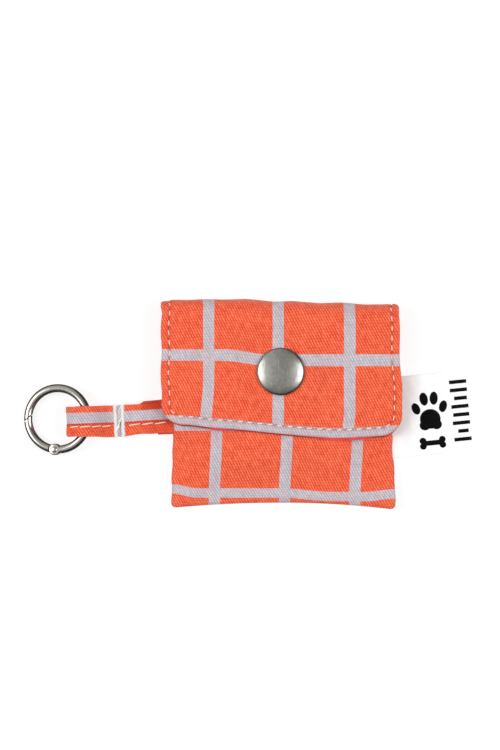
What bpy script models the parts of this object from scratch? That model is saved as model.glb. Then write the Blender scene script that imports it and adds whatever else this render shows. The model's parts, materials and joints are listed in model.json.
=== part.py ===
"""Treat pouch: a fabric snap pouch with a ring on a strap and a folded label, lying on its back.

Metres, +Z up. The origin is the middle of the pouch's flat back, on the surface it lies on.
+X runs towards the label, +Y towards the flap's fold, +Z out of the front.
"""

import math

import bmesh
import bpy
from mathutils import Matrix, Vector

MM = 0.001

# Fabric layers: the gap is what separate solids keep between them.
OUTER = 0.6 * MM
INTERLINING = 0.3 * MM
LINING = 0.4 * MM
GAP = 0.25 * MM
BACK_STACK = OUTER + GAP + LINING
FRONT_STACK = OUTER + GAP + INTERLINING + GAP + LINING

# Pocket
HALF_WIDTH = 37.0 * MM
MOUTH_Y = 28.5 * MM
CORNER_Y = -34.7 * MM
BOTTOM_HOLLOW = 1.9 * MM
FULLNESS = 6.5 * MM
SIDE_LIFT = 1.6 * MM
TAIL_LIFT = 1.5 * MM
TAIL_END_Y = 22.0 * MM

# Flap and its fold
FLAP_HALF_WIDTH = 40.5 * MM
FOLD_Y = 34.4 * MM
FOLD_HEIGHT = 12.3 * MM
FOLD_DROP = 3.4 * MM
FLAP_EDGE_Y = -9.3 * MM
FLAP_EDGE_SWAY = 2.2 * MM
FLAP_CORNER = 7.0 * MM
FLAP_HINGE_Y = FOLD_Y + 0.05 * MM
FLAP_HINGE_Z = 4.6 * MM
HINGE_GAP = 0.15 * MM
STITCH_INSET = 2.7 * MM
THREAD = 0.13 * MM

# Snap fastener, whose heights stack up from the front panel's crown
SNAP_X = -0.6 * MM
SNAP_Y = 10.8 * MM
CAP_RADIUS = 7.9 * MM
POST_HOLE = 2.1 * MM
CAP_HOLE = 1.7 * MM
FRONT_TOP = BACK_STACK + GAP + FULLNESS + FRONT_STACK
STUD_Z = FRONT_TOP + GAP
SOCKET_Z = STUD_Z + 0.7 * MM
SOCKET_HEIGHT = 1.7 * MM
SNAP_FLAP_TOP = SOCKET_Z + SOCKET_HEIGHT + GAP + FRONT_STACK
SNAP_BUMP = SNAP_FLAP_TOP - FOLD_HEIGHT
BUMP_FLAT = 9.5 * MM
BUMP_END = 17.5 * MM

# Strap, hinged just outside the flap's left edge; u runs out along the strap
STRAP_TURN = math.radians(2.59)
STRAP_HINGE = Vector((-43.0 * MM, -4.6 * MM, 4.7 * MM))
STRAP_WIDTH = 10.0 * MM
STRAP_THICK = 1.2 * MM
BARTACK_START = 9.6 * MM
BARTACK_LENGTH = 3.7 * MM

# Ring and its gate
RING_PIVOT_U = 22.8 * MM
RING_PIVOT_Z = 5.4 * MM
RING_SHIFT = 1.1 * MM
RING_RADIUS = 10.25 * MM
WIRE = 1.35 * MM
PIVOT_INSET = 0.9 * MM
RIVET_ANGLE = math.radians(262.3)
JOINT_ANGLE = math.radians(176.5)
JOINT_SLANT = math.radians(39.6)
JOINT_GAP = 0.2 * MM
BOSS = 1.9 * MM
SLOT_RADIUS = 2.3 * MM
SLOT_HALF = 0.95 * MM
TONGUE_LOW = -0.75 * MM
TONGUE_HIGH = -0.05 * MM
RIVET = 0.45 * MM
RIVET_HOLE = 0.75 * MM

# Label, hinged just outside the flap's right edge
LABEL_TURN = math.radians(5.5)
LABEL_HINGE = Vector((42.9 * MM, -4.0 * MM, 4.1 * MM))
LABEL_WIDTH = 27.0 * MM
LABEL_THICK = 0.35 * MM
LABEL_ROOT_Z = 3.5 * MM

POUCH = bpy.data.collections.new("treat_pouch")
CUTTERS = bpy.data.collections.new("cutters")


def start_empty():
    for thing in list(bpy.data.objects):
        bpy.data.objects.remove(thing, do_unlink=True)
    bpy.context.scene.collection.children.link(POUCH)
    bpy.context.scene.collection.children.link(CUTTERS)


def material(name, colour, roughness, metallic=0.0):
    made = bpy.data.materials.new(name)
    made.use_nodes = True
    shader = made.node_tree.nodes["Principled BSDF"]
    shader.inputs["Base Color"].default_value = (*colour, 1.0)
    shader.inputs["Roughness"].default_value = roughness
    shader.inputs["Metallic"].default_value = metallic
    return made


# ---------------------------------------------------------------- small tools


def place(name, mesh, finish, matrix=None, parent=None):
    """Put a mesh in the pouch's collection under one name, with its own material."""
    part = bpy.data.objects.new(name, mesh)
    POUCH.objects.link(part)
    own = finish.copy()
    own.name = name
    mesh.materials.clear()
    mesh.materials.append(own)
    part.matrix_world = matrix or Matrix.Identity(4)
    if parent:
        part.parent = parent
        part.matrix_parent_inverse = parent.matrix_world.inverted()
    return part


def axis_empty(name, matrix, parent=None):
    """An empty on a joint's axis, for the pieces that turn about it."""
    empty = bpy.data.objects.new(name, None)
    POUCH.objects.link(empty)
    empty.empty_display_size = 4 * MM
    empty.matrix_world = matrix
    if parent:
        empty.parent = parent
        empty.matrix_parent_inverse = parent.matrix_world.inverted()
    bpy.context.view_layer.update()
    return empty


def grid_mesh(name, columns, rows, point):
    """An open sheet: point(i, j) gives the place of column i and row j."""
    shell = bmesh.new()
    bmesh.ops.create_grid(shell, x_segments=columns, y_segments=rows, size=1.0)
    for vertex in shell.verts:
        i = round((vertex.co.x + 1) / 2 * columns)
        j = round((vertex.co.y + 1) / 2 * rows)
        vertex.co = point(i, j)
    mesh = bpy.data.meshes.new(name)
    shell.to_mesh(mesh)
    shell.free()
    mesh.shade_smooth()
    mesh.set_sharp_from_angle(angle=math.radians(40))
    return mesh


def solidify(part, thickness, offset=-1.0):
    shell = part.modifiers.new("Solidify", "SOLIDIFY")
    shell.thickness = thickness
    shell.offset = offset


def bevel(part, width, segments=1):
    edge = part.modifiers.new("Bevel", "BEVEL")
    edge.width = width
    edge.segments = segments
    edge.limit_method = "ANGLE"


def boolean(part, cutter, operation="DIFFERENCE"):
    cut = part.modifiers.new(cutter.name, "BOOLEAN")
    cut.operation = operation
    cut.object = cutter
    cut.solver = "EXACT"


def as_cutter(cutter):
    for home in list(cutter.users_collection):
        home.objects.unlink(cutter)
    CUTTERS.objects.link(cutter)
    cutter.hide_render = True
    cutter.display_type = "WIRE"
    return cutter


def disc_mesh(name, radius, low, high, sides=24):
    """A closed cylinder about Z from low to high."""
    disc = bmesh.new()
    bmesh.ops.create_cone(
        disc,
        cap_ends=True,
        segments=sides,
        radius1=radius,
        radius2=radius,
        depth=high - low,
        matrix=Matrix.Translation((0, 0, (low + high) / 2)),
    )
    mesh = bpy.data.meshes.new(name)
    disc.to_mesh(mesh)
    disc.free()
    return mesh


def disc_cutter(name, radius, low, high, matrix):
    cutter = bpy.data.objects.new(name, disc_mesh(name, radius, low, high))
    cutter.matrix_world = matrix
    CUTTERS.objects.link(cutter)
    return as_cutter(cutter)


def box_mesh(name, low, high):
    """A closed box between two corners."""
    low, high = Vector(low), Vector(high)
    size = high - low
    box = bmesh.new()
    bmesh.ops.create_cube(
        box, size=1.0, matrix=Matrix.Translation((low + high) / 2) @ Matrix.Diagonal((*size, 1.0))
    )
    mesh = bpy.data.meshes.new(name)
    box.to_mesh(mesh)
    box.free()
    return mesh


def tube_mesh(name, points, radius, resolution=1):
    """A round tube along points, with its caps welded on."""
    curve = bpy.data.curves.new(name, "CURVE")
    curve.dimensions = "3D"
    spline = curve.splines.new("POLY")
    spline.points.add(len(points) - 1)
    for spot, where in zip(spline.points, points):
        spot.co = (*where, 1.0)
    curve.bevel_depth = radius
    curve.bevel_resolution = resolution
    curve.use_fill_caps = True
    guide = bpy.data.objects.new(name, curve)
    POUCH.objects.link(guide)
    bpy.context.view_layer.update()
    evaluated = guide.evaluated_get(bpy.context.evaluated_depsgraph_get())
    mesh = bpy.data.meshes.new_from_object(evaluated)
    bpy.data.objects.remove(guide, do_unlink=True)
    weld = bmesh.new()
    weld.from_mesh(mesh)
    bmesh.ops.remove_doubles(weld, verts=weld.verts, dist=0.001 * MM)
    bmesh.ops.recalc_face_normals(weld, faces=weld.faces)
    weld.to_mesh(mesh)
    weld.free()
    mesh.shade_smooth()
    mesh.set_sharp_from_angle(angle=math.radians(40))
    return mesh


def turned(name, profile, finish, matrix, parent=None, steps=32):
    """A turned piece: profile is (radius, height), running down its outer side."""
    outline = bmesh.new()
    spots = [outline.verts.new((radius, 0, height)) for radius, height in profile]
    for first, second in zip(spots, spots[1:]):
        outline.edges.new((first, second))
    if profile[0][0] > 0:
        outline.edges.new((spots[-1], spots[0]))
    mesh = bpy.data.meshes.new(name)
    outline.to_mesh(mesh)
    outline.free()
    part = place(name, mesh, finish, matrix, parent)
    screw = part.modifiers.new("Screw", "SCREW")
    screw.steps = steps
    screw.render_steps = steps
    screw.use_merge_vertices = True
    screw.merge_threshold = 0.001 * MM
    return part


def smooth_step(value):
    value = min(1.0, max(0.0, value))
    return value * value * (3 - 2 * value)


def smooth_path(knots, per_span=4):
    """A smooth path through the knots (Catmull-Rom)."""
    knots = [Vector(knot) for knot in knots]
    ends = [2 * knots[0] - knots[1], *knots, 2 * knots[-1] - knots[-2]]
    path = []
    for before, here, there, after in zip(ends, ends[1:], ends[2:], ends[3:]):
        for step in range(per_span):
            t = step / per_span
            path.append(
                0.5
                * (
                    2 * here
                    + (there - before) * t
                    + (2 * before - 5 * here + 4 * there - after) * t**2
                    + (3 * here - before - 3 * there + after) * t**3
                )
            )
    path.append(knots[-1])
    return path


# ---------------------------------------------------------------- pocket


def bottom_y(x):
    """The bottom edge curves in between its two pointed corners."""
    return CORNER_Y + BOTTOM_HOLLOW * (1 - (x / HALF_WIDTH) ** 2)


def tail_lift(y):
    """The back rises where it lies on the flap's sewn-down tail."""
    return TAIL_LIFT * smooth_step((y - 16 * MM) / (5 * MM))


def back_under(x, y):
    return SIDE_LIFT * abs(x / HALF_WIDTH) ** 4 + tail_lift(y)


def front_under(x, y):
    """Underside of the front lining: domed, closed down to the back at the sides and bottom."""
    across = 1 - abs(x / HALF_WIDTH) ** 3
    along = smooth_step((y - bottom_y(x)) / (21 * MM))
    return back_under(x, y) + BACK_STACK + GAP + (FULLNESS - 0.9 * tail_lift(y)) * across * along


def pocket_point(columns, rows, height):
    def point(i, j):
        x = HALF_WIDTH * (2 * i / columns - 1)
        low = bottom_y(x)
        y = low + (MOUTH_Y - low) * j / rows
        return Vector((x, y, height(x, y)))

    return point


def pocket_layer(name, under, rise, thickness, finish, columns=16, rows=14):
    """One layer of the pocket: its top is rise above the under surface."""
    point = pocket_point(columns, rows, lambda x, y: under(x, y) + rise)
    part = place(name, grid_mesh(name, columns, rows, point), finish)
    solidify(part, thickness)
    return part


def build_pocket(finishes):
    pocket_layer("back_panel_outer", back_under, OUTER, OUTER, finishes["orange"], 12, 14)
    pocket_layer("back_lining", back_under, BACK_STACK, LINING, finishes["lining"], 12, 14)
    hole = disc_cutter(
        "front_post_hole", POST_HOLE, 0, 20 * MM, Matrix.Translation((SNAP_X, SNAP_Y, 0))
    )
    rise = 0
    layers = (
        ("front_lining", LINING, "lining"),
        ("front_interlining", INTERLINING, "interlining"),
        ("front_panel_outer", OUTER, "orange"),
    )
    for name, thickness, finish in layers:
        rise += thickness
        boolean(pocket_layer(name, front_under, rise, thickness, finishes[finish]), hole)
        rise += GAP
    seam_out = THREAD + GAP
    for side, name in ((-1, "side_seam_thread_left"), (1, "side_seam_thread_right")):
        x = side * HALF_WIDTH
        line = []
        for step in range(13):
            y = CORNER_Y + (MOUTH_Y - CORNER_Y) * step / 12
            line.append((x + side * seam_out, y, back_under(x, y) + BACK_STACK + GAP / 2))
        place(name, tube_mesh(name, line, THREAD), finishes["thread"])
    line = []
    for step in range(13):
        x = HALF_WIDTH * (step / 6 - 1) * 0.985
        y = bottom_y(x)
        line.append((x, y - seam_out - THREAD, back_under(x, y) + BACK_STACK + GAP / 2))
    place("bottom_seam_thread", tube_mesh("bottom_seam_thread", line, THREAD), finishes["thread"])
    line = []
    y = MOUTH_Y - 2 * MM
    for step in range(25):
        x = 0.95 * HALF_WIDTH * (step / 12 - 1)
        line.append((x, y, front_under(x, y) + FRONT_STACK + 2 * THREAD))
    place("mouth_thread", tube_mesh("mouth_thread", line, THREAD), finishes["thread"])


# ---------------------------------------------------------------- flap


def fold_height(x):
    return FOLD_HEIGHT - FOLD_DROP * abs(x / FLAP_HALF_WIDTH) ** 2.5


def flap_edge_y(x):
    return FLAP_EDGE_Y - FLAP_EDGE_SWAY * math.sin(math.pi * x / (60 * MM))


def flap_top(x, y):
    away = math.hypot(x - SNAP_X, y - SNAP_Y)
    bump = SNAP_BUMP * smooth_step((BUMP_END - away) / (BUMP_END - BUMP_FLAT))
    return fold_height(x) + bump


def fold_point(x, angle, depth):
    """A point of the fold: depth inside its outer face, at an angle up from +Y."""
    radius = fold_height(x) / 2
    y = FOLD_Y - radius + (radius - depth) * math.cos(angle)
    return Vector((x, y, radius + (radius - depth) * math.sin(angle)))


def fold_angle(x, height, depth):
    """The angle at which the fold, depth inside its outer face, is at a height."""
    radius = fold_height(x) / 2
    return math.asin((height - radius) / (radius - depth))


def flap_point(x, along, depth):
    """A point of the flap; along runs 0 to 1 over the flap and 1 to 2 round the fold."""
    if along <= 1:
        edge = flap_edge_y(x)
        y = edge + (FOLD_Y - fold_height(x) / 2 - edge) * along
        return Vector((x, y, flap_top(x, y) - depth))
    last = fold_angle(x, FLAP_HINGE_Z + HINGE_GAP, depth)
    return fold_point(x, math.pi / 2 + (last - math.pi / 2) * (along - 1), depth)


def flap_half_width(along, inset=0.0):
    """Half the flap's width: its two lower corners are round."""
    radius = FLAP_CORNER - inset
    drop = (FLAP_CORNER - along * (FOLD_Y - FOLD_HEIGHT / 2 - FLAP_EDGE_Y)) / radius
    straight = FLAP_HALF_WIDTH - FLAP_CORNER
    return straight + radius * math.sqrt(max(0.0, 1 - max(0.0, min(1.0, drop)) ** 2))


def flap_stations(flat_rows=11, fold_rows=6):
    """Rows of the flap: close together round its corners, then even, then round the fold."""
    length = FOLD_Y - FOLD_HEIGHT / 2 - FLAP_EDGE_Y
    corner = [FLAP_CORNER * (1 - math.cos(math.radians(a))) / length for a in (0, 30, 60, 90)]
    start = corner[-1]
    flat = [start + (1 - start) * (row + 1) / flat_rows for row in range(flat_rows)]
    fold = [1 + (row + 1) / fold_rows for row in range(fold_rows)]
    return corner + flat + fold


def flap_layer(name, depth, thickness, finish, parent, columns=18):
    stations = flap_stations()

    def point(i, j):
        x = flap_half_width(min(1.0, stations[j])) * (2 * i / columns - 1)
        return flap_point(x, stations[j], depth)

    part = place(name, grid_mesh(name, columns, len(stations) - 1, point), finish, None, parent)
    solidify(part, thickness)
    return part


def tail_layer(name, depth, thickness, finish, columns=18, fold_rows=6, flat_rows=4):
    """The end of the flap that is sewn to the back: the lower half of the fold, then flat."""

    def point(i, j):
        x = FLAP_HALF_WIDTH * (2 * i / columns - 1)
        first = fold_angle(x, FLAP_HINGE_Z - HINGE_GAP, depth)
        if j <= fold_rows:
            return fold_point(x, first + (-math.pi / 2 - first) * j / fold_rows, depth)
        start = FOLD_Y - fold_height(x) / 2
        y = start + (TAIL_END_Y - start) * (j - fold_rows) / flat_rows
        return Vector((x, y, depth))

    rows = fold_rows + flat_rows
    part = place(name, grid_mesh(name, columns, rows, point), finish)
    solidify(part, thickness)
    return part


def flap_thread_line():
    """The topstitch runs down one side of the flap, round its lower edge and up the other."""
    length = FOLD_Y - FOLD_HEIGHT / 2 - FLAP_EDGE_Y
    first = STITCH_INSET / length
    side = FLAP_HALF_WIDTH - STITCH_INSET
    corner = FLAP_CORNER / length
    reach = FLAP_HALF_WIDTH - FLAP_CORNER
    rows = [1.95 - 0.15 * step for step in range(7)] + [1 - 0.1 * step for step in range(1, 9)]
    rise = -2 * THREAD
    right = [(side, row) for row in rows if row > corner]
    for degrees in range(90, -1, -30):
        turn = math.radians(degrees)
        row = corner - (corner - first) * math.cos(turn)
        right.append((reach + (FLAP_CORNER - STITCH_INSET) * math.sin(turn), row))
    bottom = [flap_point(reach * (1 - step / 7), first, rise) for step in range(1, 14)]
    left = [flap_point(-x, row, rise) for x, row in right]
    return [flap_point(x, row, rise) for x, row in right] + bottom + left[::-1]


def build_flap(finishes):
    hinge = Matrix.Translation((0, FLAP_HINGE_Y, FLAP_HINGE_Z))
    turn = axis_empty("flap_hinge", hinge)
    hole = disc_cutter(
        "flap_post_hole", CAP_HOLE, 0, 20 * MM, Matrix.Translation((SNAP_X, SNAP_Y, 0))
    )
    depth = 0
    layers = (
        ("flap_outer", OUTER, "orange"),
        ("flap_interlining", INTERLINING, "interlining"),
        ("flap_lining", LINING, "lining"),
    )
    for name, thickness, finish in layers:
        boolean(flap_layer(name, depth, thickness, finishes[finish], turn), hole)
        depth += thickness + GAP
    tail_layer("flap_tail_outer", 0, OUTER, finishes["orange"])
    tail_layer("flap_tail_lining", OUTER + GAP, LINING, finishes["lining"])
    stitches = tube_mesh("flap_thread", flap_thread_line(), THREAD)
    place("flap_thread", stitches, finishes["thread"], None, turn)
    return turn


# ---------------------------------------------------------------- snap fastener


def build_snap(finishes, flap):
    middle = Matrix.Translation((SNAP_X, SNAP_Y, 0))
    steel = finishes["snap"]
    stud = STUD_Z
    turned(
        "snap_stud",
        [
            (0, stud + 1.7 * MM),
            (1.9 * MM, stud + 1.7 * MM),
            (2.5 * MM, stud + 1.35 * MM),
            (2.5 * MM, stud + 1.05 * MM),
            (2.15 * MM, stud + 0.8 * MM),
            (2.15 * MM, stud + 0.4 * MM),
            (5.3 * MM, stud + 0.4 * MM),
            (5.5 * MM, stud + 0.2 * MM),
            (5.5 * MM, stud),
            (1.8 * MM, stud),
            (1.8 * MM, stud + 1.35 * MM),
            (0, stud + 1.35 * MM),
        ],
        steel,
        middle,
    )
    flange = BACK_STACK + FULLNESS - 0.5 * MM
    turned(
        "snap_post",
        [
            (0, stud + 1.05 * MM),
            (1.5 * MM, stud + 1.05 * MM),
            (1.5 * MM, flange + 0.45 * MM),
            (4.4 * MM, flange + 0.45 * MM),
            (4.4 * MM, flange + 0.15 * MM),
            (4.0 * MM, flange),
            (0, flange),
        ],
        steel,
        middle,
    )
    socket = SOCKET_Z
    top = socket + SOCKET_HEIGHT
    turned(
        "snap_socket",
        [
            (CAP_HOLE, top),
            (5.9 * MM, top),
            (6.2 * MM, top - 0.3 * MM),
            (6.2 * MM, socket + 0.2 * MM),
            (6.0 * MM, socket),
            (3.3 * MM, socket),
            (3.3 * MM, socket + 0.3 * MM),
            (4.6 * MM, socket + 0.3 * MM),
            (4.6 * MM, top - 0.4 * MM),
            (CAP_HOLE, top - 0.4 * MM),
        ],
        steel,
        middle,
        flap,
    )
    base = SNAP_FLAP_TOP + GAP
    turned(
        "snap_cap",
        [
            (0, base + 1.9 * MM),
            (2.5 * MM, base + 1.84 * MM),
            (5.0 * MM, base + 1.6 * MM),
            (6.7 * MM, base + 1.22 * MM),
            (7.6 * MM, base + 0.85 * MM),
            (CAP_RADIUS, base + 0.5 * MM),
            (CAP_RADIUS - 0.1 * MM, base + 0.15 * MM),
            (CAP_RADIUS - 0.4 * MM, base),
            (1.3 * MM, base),
            (1.3 * MM, top - 0.35 * MM),
            (0, top - 0.35 * MM),
        ],
        steel,
        middle,
        flap,
    )
    wire_z = socket + 0.75 * MM
    for side, name in ((-1, "snap_spring_left"), (1, "snap_spring_right")):
        x = side * 3.0 * MM
        ends = side * 3.3 * MM
        line = [(ends, -2.6 * MM, wire_z), (x, -1.5 * MM, wire_z)]
        line += [(x, 0, wire_z), (x, 1.5 * MM, wire_z), (ends, 2.6 * MM, wire_z)]
        place(name, tube_mesh(name, line, 0.18 * MM), finishes["spring"], middle, flap)


# ---------------------------------------------------------------- strap


STRAP_KNOTS = (
    (0.2, 4.0),
    (6.0, 4.0),
    (13.5, 4.0),
    (16.0, 5.0),
    (18.2, 6.9),
    (20.2, 8.4),
    (22.6, 9.15),
    (25.0, 8.8),
    (26.9, 7.6),
    (28.15, 6.0),
    (28.5, 4.3),
    (27.9, 3.0),
    (26.0, 2.35),
    (22.3, 2.2),
    (13.5, 2.45),
    (6.0, 2.5),
    (0.2, 2.5),
)


def strap_frame():
    return Matrix.Translation(STRAP_HINGE) @ Matrix.Rotation(STRAP_TURN, 4, "Z")


def strap_path():
    """The strap's middle line, out along the top leg, round the ring and back along the lower."""
    knots = [Vector((-u * MM, 0, z * MM - STRAP_HINGE.z)) for u, z in STRAP_KNOTS]
    return smooth_path(knots, 3)


def strap_thread_line(first, last, sideways):
    """Stitching on the strap's outer face between two distances u on the top leg."""
    path = strap_path()
    line = []
    for before, here, after in zip(path, path[1:], path[2:]):
        run = (after - before).normalized()
        out = Vector((run.z, 0, -run.x))
        if first <= -here.x <= last and out.z > 0.2:
            line.append(here + out * (STRAP_THICK / 2 + 2 * THREAD) + Vector((0, sideways, 0)))
    return line


def build_strap(finishes):
    frame = strap_frame()
    hinge = axis_empty("strap_hinge", frame)
    path = strap_path()

    def point(i, j):
        return path[j] + Vector((0, STRAP_WIDTH * (0.5 - i), 0))

    strap = place("strap", grid_mesh("strap", 1, len(path) - 1, point), finishes["orange"], frame, hinge)
    solidify(strap, STRAP_THICK, 0.0)
    low = 1.9 * MM - STRAP_HINGE.z
    high = 4.6 * MM - STRAP_HINGE.z
    half = STRAP_WIDTH / 2
    corner = (4.9 * MM, half, high)
    root = place(
        "strap_root", box_mesh("strap_root", (0.15 * MM, -half, low), corner), finishes["orange"], frame
    )
    bevel(root, 0.25 * MM)
    start = BARTACK_START
    end = BARTACK_START + BARTACK_LENGTH
    edge = -STRAP_WIDTH / 2 + 1.6 * MM
    parts = (
        ("strap_thread_root_side", 0.8 * MM, start - 0.4 * MM),
        ("strap_thread_loop", end + 0.4 * MM, 28 * MM),
    )
    for name, first, last in parts:
        line = strap_thread_line(first, last, edge)
        place(name, tube_mesh(name, line, THREAD), finishes["thread"], frame, hinge)
    low = high + 0.25 * MM
    tack = place(
        "strap_bartack",
        box_mesh("strap_bartack", (-end, -half, low), (-start, half, low + 0.45 * MM)),
        finishes["thread"],
        frame,
        hinge,
    )
    bevel(tack, 0.12 * MM)
    return hinge


# ---------------------------------------------------------------- ring


def ring_frame():
    """Ring plane: its far side rests on the surface, its near side is held by the strap."""
    reach = 2 * RING_RADIUS - PIVOT_INSET
    tilt = math.asin((RING_PIVOT_Z - WIRE - 0.05 * MM) / reach)
    pivot = Vector((-RING_PIVOT_U, RING_SHIFT, RING_PIVOT_Z - STRAP_HINGE.z))
    turn = strap_frame() @ Matrix.Translation(pivot) @ Matrix.Rotation(-tilt, 4, "Y")
    return turn, turn @ Matrix.Translation((PIVOT_INSET - RING_RADIUS, 0, 0))


def ring_spot(angle, radius=RING_RADIUS):
    return Vector((radius * math.cos(angle), radius * math.sin(angle), 0))


def arc_tube(name, first, last, steps):
    points = [ring_spot(first + (last - first) * step / steps) for step in range(steps + 1)]
    return tube_mesh(name, points, WIRE, 2)


def joint_cutter(name, side, frame):
    """A block on one side of the slanted joint between the ring's nose and the gate's tip."""
    tip = ring_spot(JOINT_ANGLE)
    place_joint = frame @ Matrix.Translation(tip) @ Matrix.Rotation(JOINT_SLANT, 4, "Z")
    reach = 4 * MM
    edges = (-JOINT_GAP, 2 * reach) if side > 0 else (-2 * reach, JOINT_GAP)
    block = box_mesh(name, (-reach, edges[0], -reach), (reach, edges[1], reach))
    cutter = bpy.data.objects.new(name, block)
    cutter.matrix_world = place_joint
    CUTTERS.objects.link(cutter)
    return as_cutter(cutter)


def build_ring(finishes, strap):
    turn, frame = ring_frame()
    swing = axis_empty("ring_swing", turn, strap)
    rivet_frame = frame @ Matrix.Translation(ring_spot(RIVET_ANGLE))
    pivot = axis_empty("gate_pivot", rivet_frame, swing)
    nickel = finishes["nickel"]
    spare = math.radians(14)

    sweep = arc_tube("ring_body", RIVET_ANGLE, JOINT_ANGLE + 2 * math.pi + spare, 36)
    body = place("ring_body", sweep, nickel, frame, swing)
    boolean(body, disc_cutter("ring_boss", BOSS, -WIRE, WIRE, rivet_frame), "UNION")
    slot = disc_cutter("ring_slot", SLOT_RADIUS, -SLOT_HALF, SLOT_HALF, rivet_frame)
    boolean(body, slot)
    hole = disc_cutter("rivet_hole", RIVET_HOLE, -2 * WIRE, 2 * WIRE, rivet_frame)
    boolean(body, hole)
    boolean(body, joint_cutter("ring_nose_cut", -1, frame))

    sweep = arc_tube("ring_gate", JOINT_ANGLE - spare, RIVET_ANGLE, 14)
    gate = place("ring_gate", sweep, nickel, frame, pivot)
    tongue = disc_cutter("gate_tongue", 1.5 * MM, TONGUE_LOW, TONGUE_HIGH, rivet_frame)
    boolean(gate, tongue, "UNION")
    room = SLOT_RADIUS - 0.1 * MM
    boolean(gate, disc_cutter("gate_above_tongue", room, TONGUE_HIGH, 2 * WIRE, rivet_frame))
    boolean(gate, disc_cutter("gate_below_tongue", room, -2 * WIRE, TONGUE_LOW, rivet_frame))
    boolean(gate, hole)
    boolean(gate, joint_cutter("gate_tip_cut", 1, frame))

    head = WIRE + 0.2 * MM
    turned(
        "gate_rivet",
        [
            (0, head + 0.3 * MM),
            (0.7 * MM, head + 0.2 * MM),
            (1.0 * MM, head),
            (RIVET, head),
            (RIVET, -head),
            (1.0 * MM, -head),
            (0.7 * MM, -head - 0.2 * MM),
            (0, -head - 0.3 * MM),
        ],
        nickel,
        rivet_frame,
        swing,
        16,
    )
    turns = 1.5
    steps = 24
    coil = []
    for step in range(steps + 1):
        angle = 2 * math.pi * turns * step / steps
        height = 0.24 * MM + 0.4 * MM * step / steps
        coil.append((1.1 * MM * math.cos(angle), 1.1 * MM * math.sin(angle), height))
    place("gate_spring", tube_mesh("gate_spring", coil, 0.1 * MM), finishes["spring"], rivet_frame, swing)


# ---------------------------------------------------------------- label


LABEL_KNOTS = (
    (0.2, 3.85),
    (5.0, 3.6),
    (10.0, 2.9),
    (15.0, 2.0),
    (19.0, 1.35),
    (19.5, 0.95),
    (19.0, 0.5),
    (15.0, 1.2),
    (10.0, 2.15),
    (5.0, 2.9),
    (0.2, 3.15),
)


def build_label(finishes):
    frame = Matrix.Translation(LABEL_HINGE) @ Matrix.Rotation(LABEL_TURN, 4, "Z")
    hinge = axis_empty("label_hinge", frame)
    knots = [Vector((u * MM, 0, z * MM - LABEL_HINGE.z)) for u, z in LABEL_KNOTS]
    path = smooth_path(knots, 3)
    half = LABEL_WIDTH / 2

    def point(i, j):
        return path[j] + Vector((0, half * (2 * i - 1), 0))

    mesh = grid_mesh("label", 1, len(path) - 1, point)
    label = place("label", mesh, finishes["satin"], frame, hinge)
    solidify(label, LABEL_THICK, 0.0)
    low = LABEL_ROOT_Z - 1.5 * LABEL_THICK - LABEL_HINGE.z
    high = low + 3 * LABEL_THICK
    # The root's inner edge stops short of the side seam, which it meets at a slant.
    reach = 4.0 * MM
    mesh = box_mesh("label_root", (-reach, -half, low), (-0.15 * MM, half, high))
    bevel(place("label_root", mesh, finishes["satin"], frame), 0.12 * MM)


def main():
    start_empty()
    finishes = {
        "orange": material("orange_twill", (0.87, 0.14, 0.067), 0.85),
        "lining": material("coral_lining", (0.75, 0.05, 0.06), 0.85),
        "interlining": material("white_interlining", (0.85, 0.84, 0.82), 0.9),
        "thread": material("cream_thread", (0.95, 0.82, 0.7), 0.6),
        "snap": material("satin_nickel", (0.42, 0.42, 0.39), 0.35, 1.0),
        "spring": material("spring_steel", (0.55, 0.55, 0.55), 0.3, 1.0),
        "nickel": material("polished_nickel", (0.72, 0.71, 0.69), 0.12, 1.0),
        "satin": material("white_satin", (0.93, 0.93, 0.93), 0.45),
    }
    build_pocket(finishes)
    flap = build_flap(finishes)
    build_snap(finishes, flap)
    strap = build_strap(finishes)
    build_ring(finishes, strap)
    build_label(finishes)
    for finish in finishes.values():
        bpy.data.materials.remove(finish)


main()
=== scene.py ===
import json
import math

import bmesh
import bpy
import numpy as np
from mathutils import Matrix, Vector
from mathutils.kdtree import KDTree


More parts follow.
